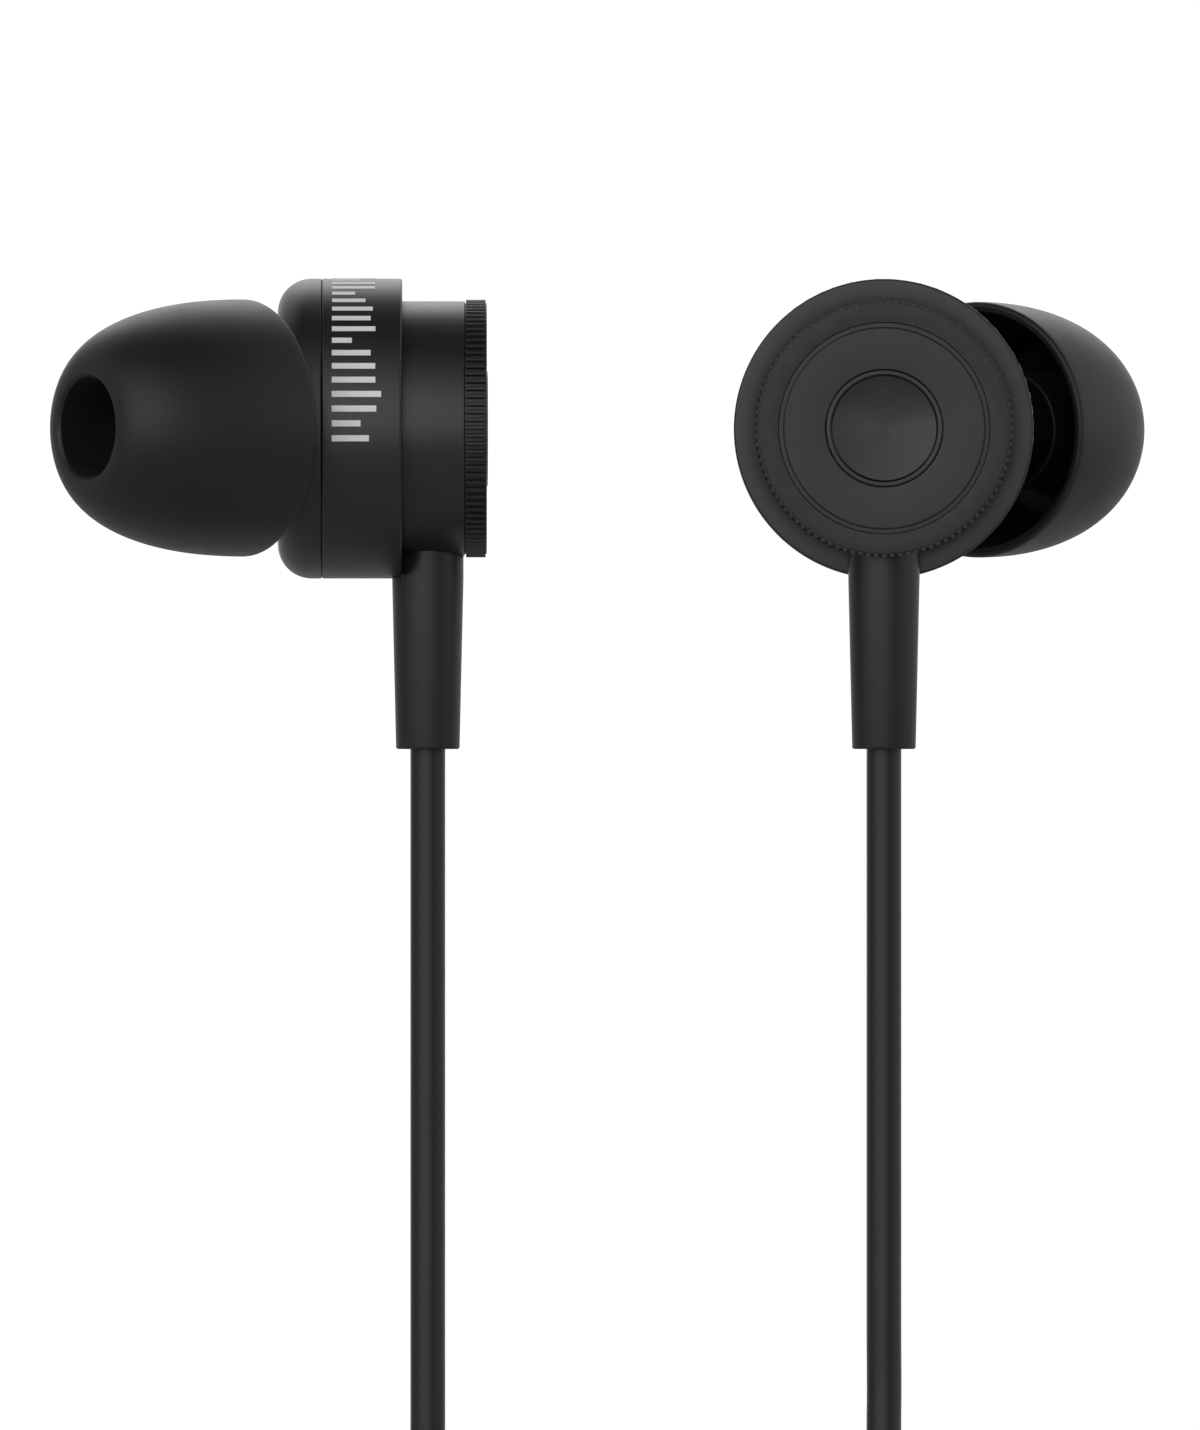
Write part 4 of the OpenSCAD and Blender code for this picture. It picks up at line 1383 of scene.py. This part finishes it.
    def back(self) -> None:
        """The knurled ring, the back cap with its sunk line, and the spun badge."""
        base = lathe(
            "base",
            outline(
                [(self.cap_r + self.play, self.ring_back, 0.03), (self.ring_r, self.ring_back, 0.05),
                 (self.ring_r, self.barrel_back, 0.03), (self.cap_r + self.play, self.barrel_back, 0.02)]
            ),
        )
        base.data.materials.append(KNURLED_METAL.material())
        teeth = knurl_pattern().grow(
            Teeth=self.teeth, Root_Radius=self.ring_r, Depth=0.16, Width=0.24, Length=0.95,
            Low=self.ring_back + self.tooth_gap, Material=KNURLED_METAL.material(),
        )
        ring = put(join(self.node("knurled_ring_toothed"), base, teeth), self.body_axis)
        self.fit(ring, KNURLED_METAL, self.node("knurled_ring"), angle=40)

        pocket = self.badge_r + self.play
        floor, line = self.ring_back + self.badge_sink, self.ring_back + self.cap_line_depth
        seat = self.barrel_back + 0.01
        cap = lathe(
            self.node("back_cap_turned"),
            outline(
                [(0, floor, 0), (pocket, floor, 0.02), (pocket, self.ring_back, 0.03),
                 (self.cap_flat_r, self.ring_back, 0.03), (self.cap_line_r, line, 0.02),
                 (self.cap_r, line, 0.01), (self.cap_r, seat, 0), (self.cap_flange_r, seat, 0.02),
                 (self.cap_flange_r, self.cap_flange_end, 0.03), (self.cap_plug_r, self.cap_flange_end, 0.03),
                 (self.cap_plug_r, self.cap_plug_end, 0.03), (0, self.cap_plug_end, 0)]
            ),
            self.body_axis,
        )
        carve(cap, rod(self.drop_axis, 4.4, 6.4, 1.55))
        self.fit(cap, BLASTED_METAL, self.node("back_cap"))

        proud = self.ring_back - self.badge_proud
        badge = lathe(
            self.node("badge_spun"),
            outline(
                [(0, self.ring_back + self.badge_dish, 0), (self.badge_slope_r, self.ring_back + 0.06, 0.02),
                 (self.badge_rim_in, proud, 0.02), (self.badge_rim_out, proud, 0.02),
                 (self.badge_r, self.ring_back, 0.01), (self.badge_r, floor, 0), (0, floor, 0)]
            ),
            self.body_axis,
        )
        self.fit(badge, badge_finish("X" if self.side is Side.LEFT else "Y"), self.node("badge"))

    def nozzle_parts(self) -> None:
        """The nozzle with its retaining lip, and the screen in its end."""
        nozzle = copy_of(self.node("nozzle"), self.node("nozzle_moulded"), 0.03)
        # The nozzle's black carries painted shade: darker, to read as the shadow inside the tip
        self.fit(nozzle, NOZZLE_ABS_PAINTED_SHADE, self.node("nozzle"))
        screen = copy_of(self.node("nozzle_screen"), self.node("nozzle_screen_etched"), 0)
        self.fit(screen, SCREEN_STEEL, self.node("nozzle_screen"))

    def dome(self, height: float) -> float:
        """The tip's outer radius at a height above its rim."""
        drop = (height / self.tip_len) ** self.dome_power
        return self.front_r + (self.tip_r - self.front_r) * math.sqrt(max(0.0, 1 - drop))

    def ear_tip(self) -> None:
        """The silicone tip: a domed skirt folded back over its core tube, open at both ends."""
        steps = 44
        heights = [self.tip_len * math.sin(math.radians(90 * i / steps)) for i in range(1, steps)]
        outer = [(self.dome(h), h, 0.0) for h in heights if h > 0.6]
        inner_end = self.tip_len - self.front_wall
        # The skirt's inside follows its outside until it meets the rounded root of the core tube
        root = self.core_out + 0.35
        inner = [(self.dome(h) - self.skirt, h, 0.0) for h in heights if 0.6 < h < inner_end]
        inner = [(max(root, r), h, 0.0) for r, h, _ in inner]
        profile = outline(
            [(self.tip_r - self.skirt, 0, 0.24), (self.tip_r, 0, 0.24), *outer,
             (self.front_r - 0.1, self.tip_len, 0.05), (self.core_in, self.tip_len - 0.16, 0.1),
             (self.core_in, self.core_end, 0.12), (self.core_out, self.core_end, 0.12),
             (self.core_out, inner_end, 0.3), (root, inner_end, 0.05), *reversed(inner)], 6,
        )
        placed = [(r, a + self.rim) for r, a in profile]
        tip = lathe(self.node("ear_tip_moulded"), placed, self.nozzle_axis, 192)
        self.fit(tip, SILICONE, self.node("ear_tip"), body=self.node("tip"), angle=60)

    def strain_relief(self) -> None:
        """The moulded sleeve under the barrel, with its neck through the wall and its foot inside."""
        bore = self.cable_bore
        sleeve = lathe(
            "sleeve",
            outline(
                [(0, self.relief_top, 0), (self.relief_r, self.relief_top, 0),
                 (self.relief_r, self.relief_taper, 0), (self.relief_low_r, self.relief_end, 0.12),
                 (0, self.relief_end, 0)]
            ),
            self.drop_axis,
        )
        barrel = rod(self.body_axis, -5, 7, self.barrel_r + 0.01, 192)
        shell = rod(self.body_axis, self.shell_rear - 0.01, 9, self.body_r + 0.01, 192)
        carve(sleeve, barrel, shell, rod(self.drop_axis, 4, 17, bore))
        neck = lathe(
            "neck",
            [(bore, 5.05), (1.5, 5.05), (1.5, 5.17), (1.25, 5.3), (1.25, 6.6), (bore, 6.6)],
            self.drop_axis,
        )
        joined = join(self.node("strain_relief_moulded"), sleeve, neck)
        self.fit(joined, RELIEF_RUBBER, self.node("strain_relief"))

    def driver(self) -> None:
        """The driver and the soldered cable end, which the housing hides."""
        for name, finish, bevel, body in (
            ("driver_cover", DRIVER_STEEL, 0.03, "root"),
            ("diaphragm", FILM, 0.0, self.node("moving_coil")),
            ("voice_coil", COPPER, 0.02, self.node("moving_coil")),
            ("driver_basket", NYLON, 0.03, "root"),
            ("pole_plate", DRIVER_STEEL, 0.03, "root"),
            ("magnet", NICKEL, 0.05, "root"),
            ("yoke", DRIVER_STEEL, 0.04, "root"),
            ("rear_damper", FELT, 0.03, "root"),
            ("terminal_board", BOARD, 0.0, "root"),
            ("lead_wires", COPPER, 0.0, "root"),
            ("cable_stop", DRIVER_STEEL, 0.03, "root"),
        ):
            node = self.node(name)
            self.fit(copy_of(node, f"{node}_finished", bevel), finish, node, body=body)


# ---------- the studio ----------


@dataclass
class Studio:
    """The camera, the soft surround and the pale floor."""

    lens: float = 1200.0
    sensor: float = 36.0
    frame_height: float = 0.0696
    middle: tuple[float, float] = (-0.00272, -0.01394)
    floor_size: float = 3.0
    floor_gap: float = 0.001
    # Brightness of the surround by compass turn: 0 and 1 lie behind the pair, 0.5 is the camera's side
    compass: tuple[tuple[float, float], ...] = (
        (0.0, 0.62), (0.03, 0.62), (0.08, 0.3), (0.2, 0.18), (0.27, 0.24), (0.35, 0.7), (0.41, 1.0),
        (0.47, 1.0), (0.51, 0.86), (0.56, 0.42), (0.6, 0.14), (0.64, 0.26), (0.7, 0.5), (0.78, 0.42),
        (0.92, 0.3), (0.97, 0.62), (1.0, 0.62),
    )
    gain: float = 1.7

    def set_camera(self) -> bpy.types.Object:
        """Places the long-lensed camera level with the earpieces."""
        data = bpy.data.cameras.new("camera")
        data.lens, data.sensor_width = self.lens, self.sensor
        data.clip_start, data.clip_end = 0.1, 50
        camera = bpy.data.objects.new("camera", data)
        camera.location = (self.middle[0], -self.frame_height * self.lens / self.sensor, self.middle[1])
        camera.rotation_euler = (math.radians(90), 0, 0)
        bpy.context.scene.collection.objects.link(camera)
        bpy.context.scene.camera = camera
        bpy.context.scene.view_settings.view_transform = "Standard"
        return camera

    def set_surround(self) -> None:
        """Soft boxes round the pair: white behind it, a key left of the camera, a dark gap on its right."""
        world = bpy.data.worlds.new("surround")
        bpy.context.scene.world = world
        world.use_nodes = True
        tree = world.node_tree

        ray = add_node(tree, "ShaderNodeTexCoord").outputs["Generated"]
        x, y, z = add_node(tree, "ShaderNodeSeparateXYZ", inputs={0: ray}).outputs
        made: dict[str, bpy.types.NodeSocket] = {"x": x, "y": y, "z": z}
        for name, kind, settings, inputs in self.surround_steps():
            wired = {key: made.get(value, value) for key, value in inputs.items()}
            made[name] = add_node(tree, kind, settings, wired).outputs[0]
        ramp = made["ring"].node.color_ramp
        ramp.interpolation = "EASE"
        for _ in self.compass[2:]:
            ramp.elements.new(0.5)
        for stop, (place, level) in zip(ramp.elements, self.compass):
            stop.position, stop.color = place, (level, level, level, 1)
        light = tree.nodes["Background"]
        light.inputs["Color"].default_value = (1, 1, 1, 1)
        tree.links.new(made["level"], light.inputs["Strength"])

    def surround_steps(self) -> list[tuple[str, str, dict[str, object], dict[str | int, object]]]:
        """Lists the surround's nodes: in front the light fades upwards, behind it peaks above the head.

        Returns:
            For each node in order the name of its result, its kind, its settings and its inputs, where a
            name stands for an earlier result.
        """
        bearing = (
            ("ahead", "MULTIPLY", ("y", -1.0)),
            ("bearing", "ARCTAN2", ("x", "ahead")),
            ("turn", "MULTIPLY_ADD", ("bearing", 1 / math.tau, 0.5)),
            ("off_level", "ABSOLUTE", ("z",)),
            ("off_middle", "ABSOLUTE", ("x",)),
        )
        # What each rise reads, where it starts and ends, and its value at the start and the end
        rises = (
            ("in_front", "off_level", 0.3, 1.1, 1.0, 0.0),
            ("narrow", "off_middle", 0.2, 0.6, 1.0, 0.0),
            ("above", "z", 0.2, 0.5, 0.0, 0.9),
            ("below_top", "z", 0.68, 0.92, 1.0, 0.1),
            ("back", "y", -0.15, 0.25, 0.0, 1.0),
        )
        mixing = (
            ("lift", "MULTIPLY_ADD", ("above", "narrow", 1.0)),
            ("behind", "MULTIPLY", ("lift", "below_top")),
            ("front_share", "SUBTRACT", (1.0, "back")),
            ("from_front", "MULTIPLY", ("in_front", "front_share")),
            ("from_behind", "MULTIPLY", ("behind", "back")),
            ("blend", "ADD", ("from_front", "from_behind")),
            ("bright_ring", "MULTIPLY", ("ring", self.gain)),
            ("level", "MULTIPLY", ("bright_ring", "blend")),
        )
        limits = ("Value", "From Min", "From Max", "To Min", "To Max")
        steps = [(name, "ShaderNodeMath", {"operation": o}, dict(enumerate(v))) for name, o, v in bearing]
        steps.append(("ring", "ShaderNodeValToRGB", {}, {0: "turn"}))
        eased = {"interpolation_type": "SMOOTHSTEP"}
        steps += [(name, "ShaderNodeMapRange", eased, dict(zip(limits, values))) for name, *values in rises]
        steps += [(name, "ShaderNodeMath", {"operation": o}, dict(enumerate(v))) for name, o, v in mixing]
        return steps

    def lay_floor(self) -> bpy.types.Object:
        """A pale satin floor just under the plug's tip."""
        low = CAD_BOX[0][2] - self.floor_gap
        half = self.floor_size / 2
        corners = [(-half, -half, low), (half, -half, low), (half, half, low), (-half, half, low)]
        mesh = bpy.data.meshes.new("floor")
        mesh.from_pydata(corners, [], [(0, 1, 2, 3)])
        floor = object_of("floor", mesh)
        acrylic = Finish("satin_acrylic", "", "#cbcbc9", "#cbcbc9", (0.5, 0.5), patch=60.0, specular=0.4)
        mesh.materials.append(acrylic.material())
        return floor


def main() -> None:
    """Builds the camera and the cords first, then the rest of the pair, then its surround."""
    logging.basicConfig(level=logging.INFO, format="%(name)s: %(message)s")
    studio = Studio()
    studio.set_camera()
    cables = Cables()
    branches = {side: cables.branch(side) for side in Side}
    trunk = cables.main()
    cables.declare(branches, trunk, Plug().build())
    for side in Side:
        Earpiece(side).build()
    studio.set_surround()
    studio.lay_floor()
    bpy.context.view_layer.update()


if __name__ == "__main__":
    main()
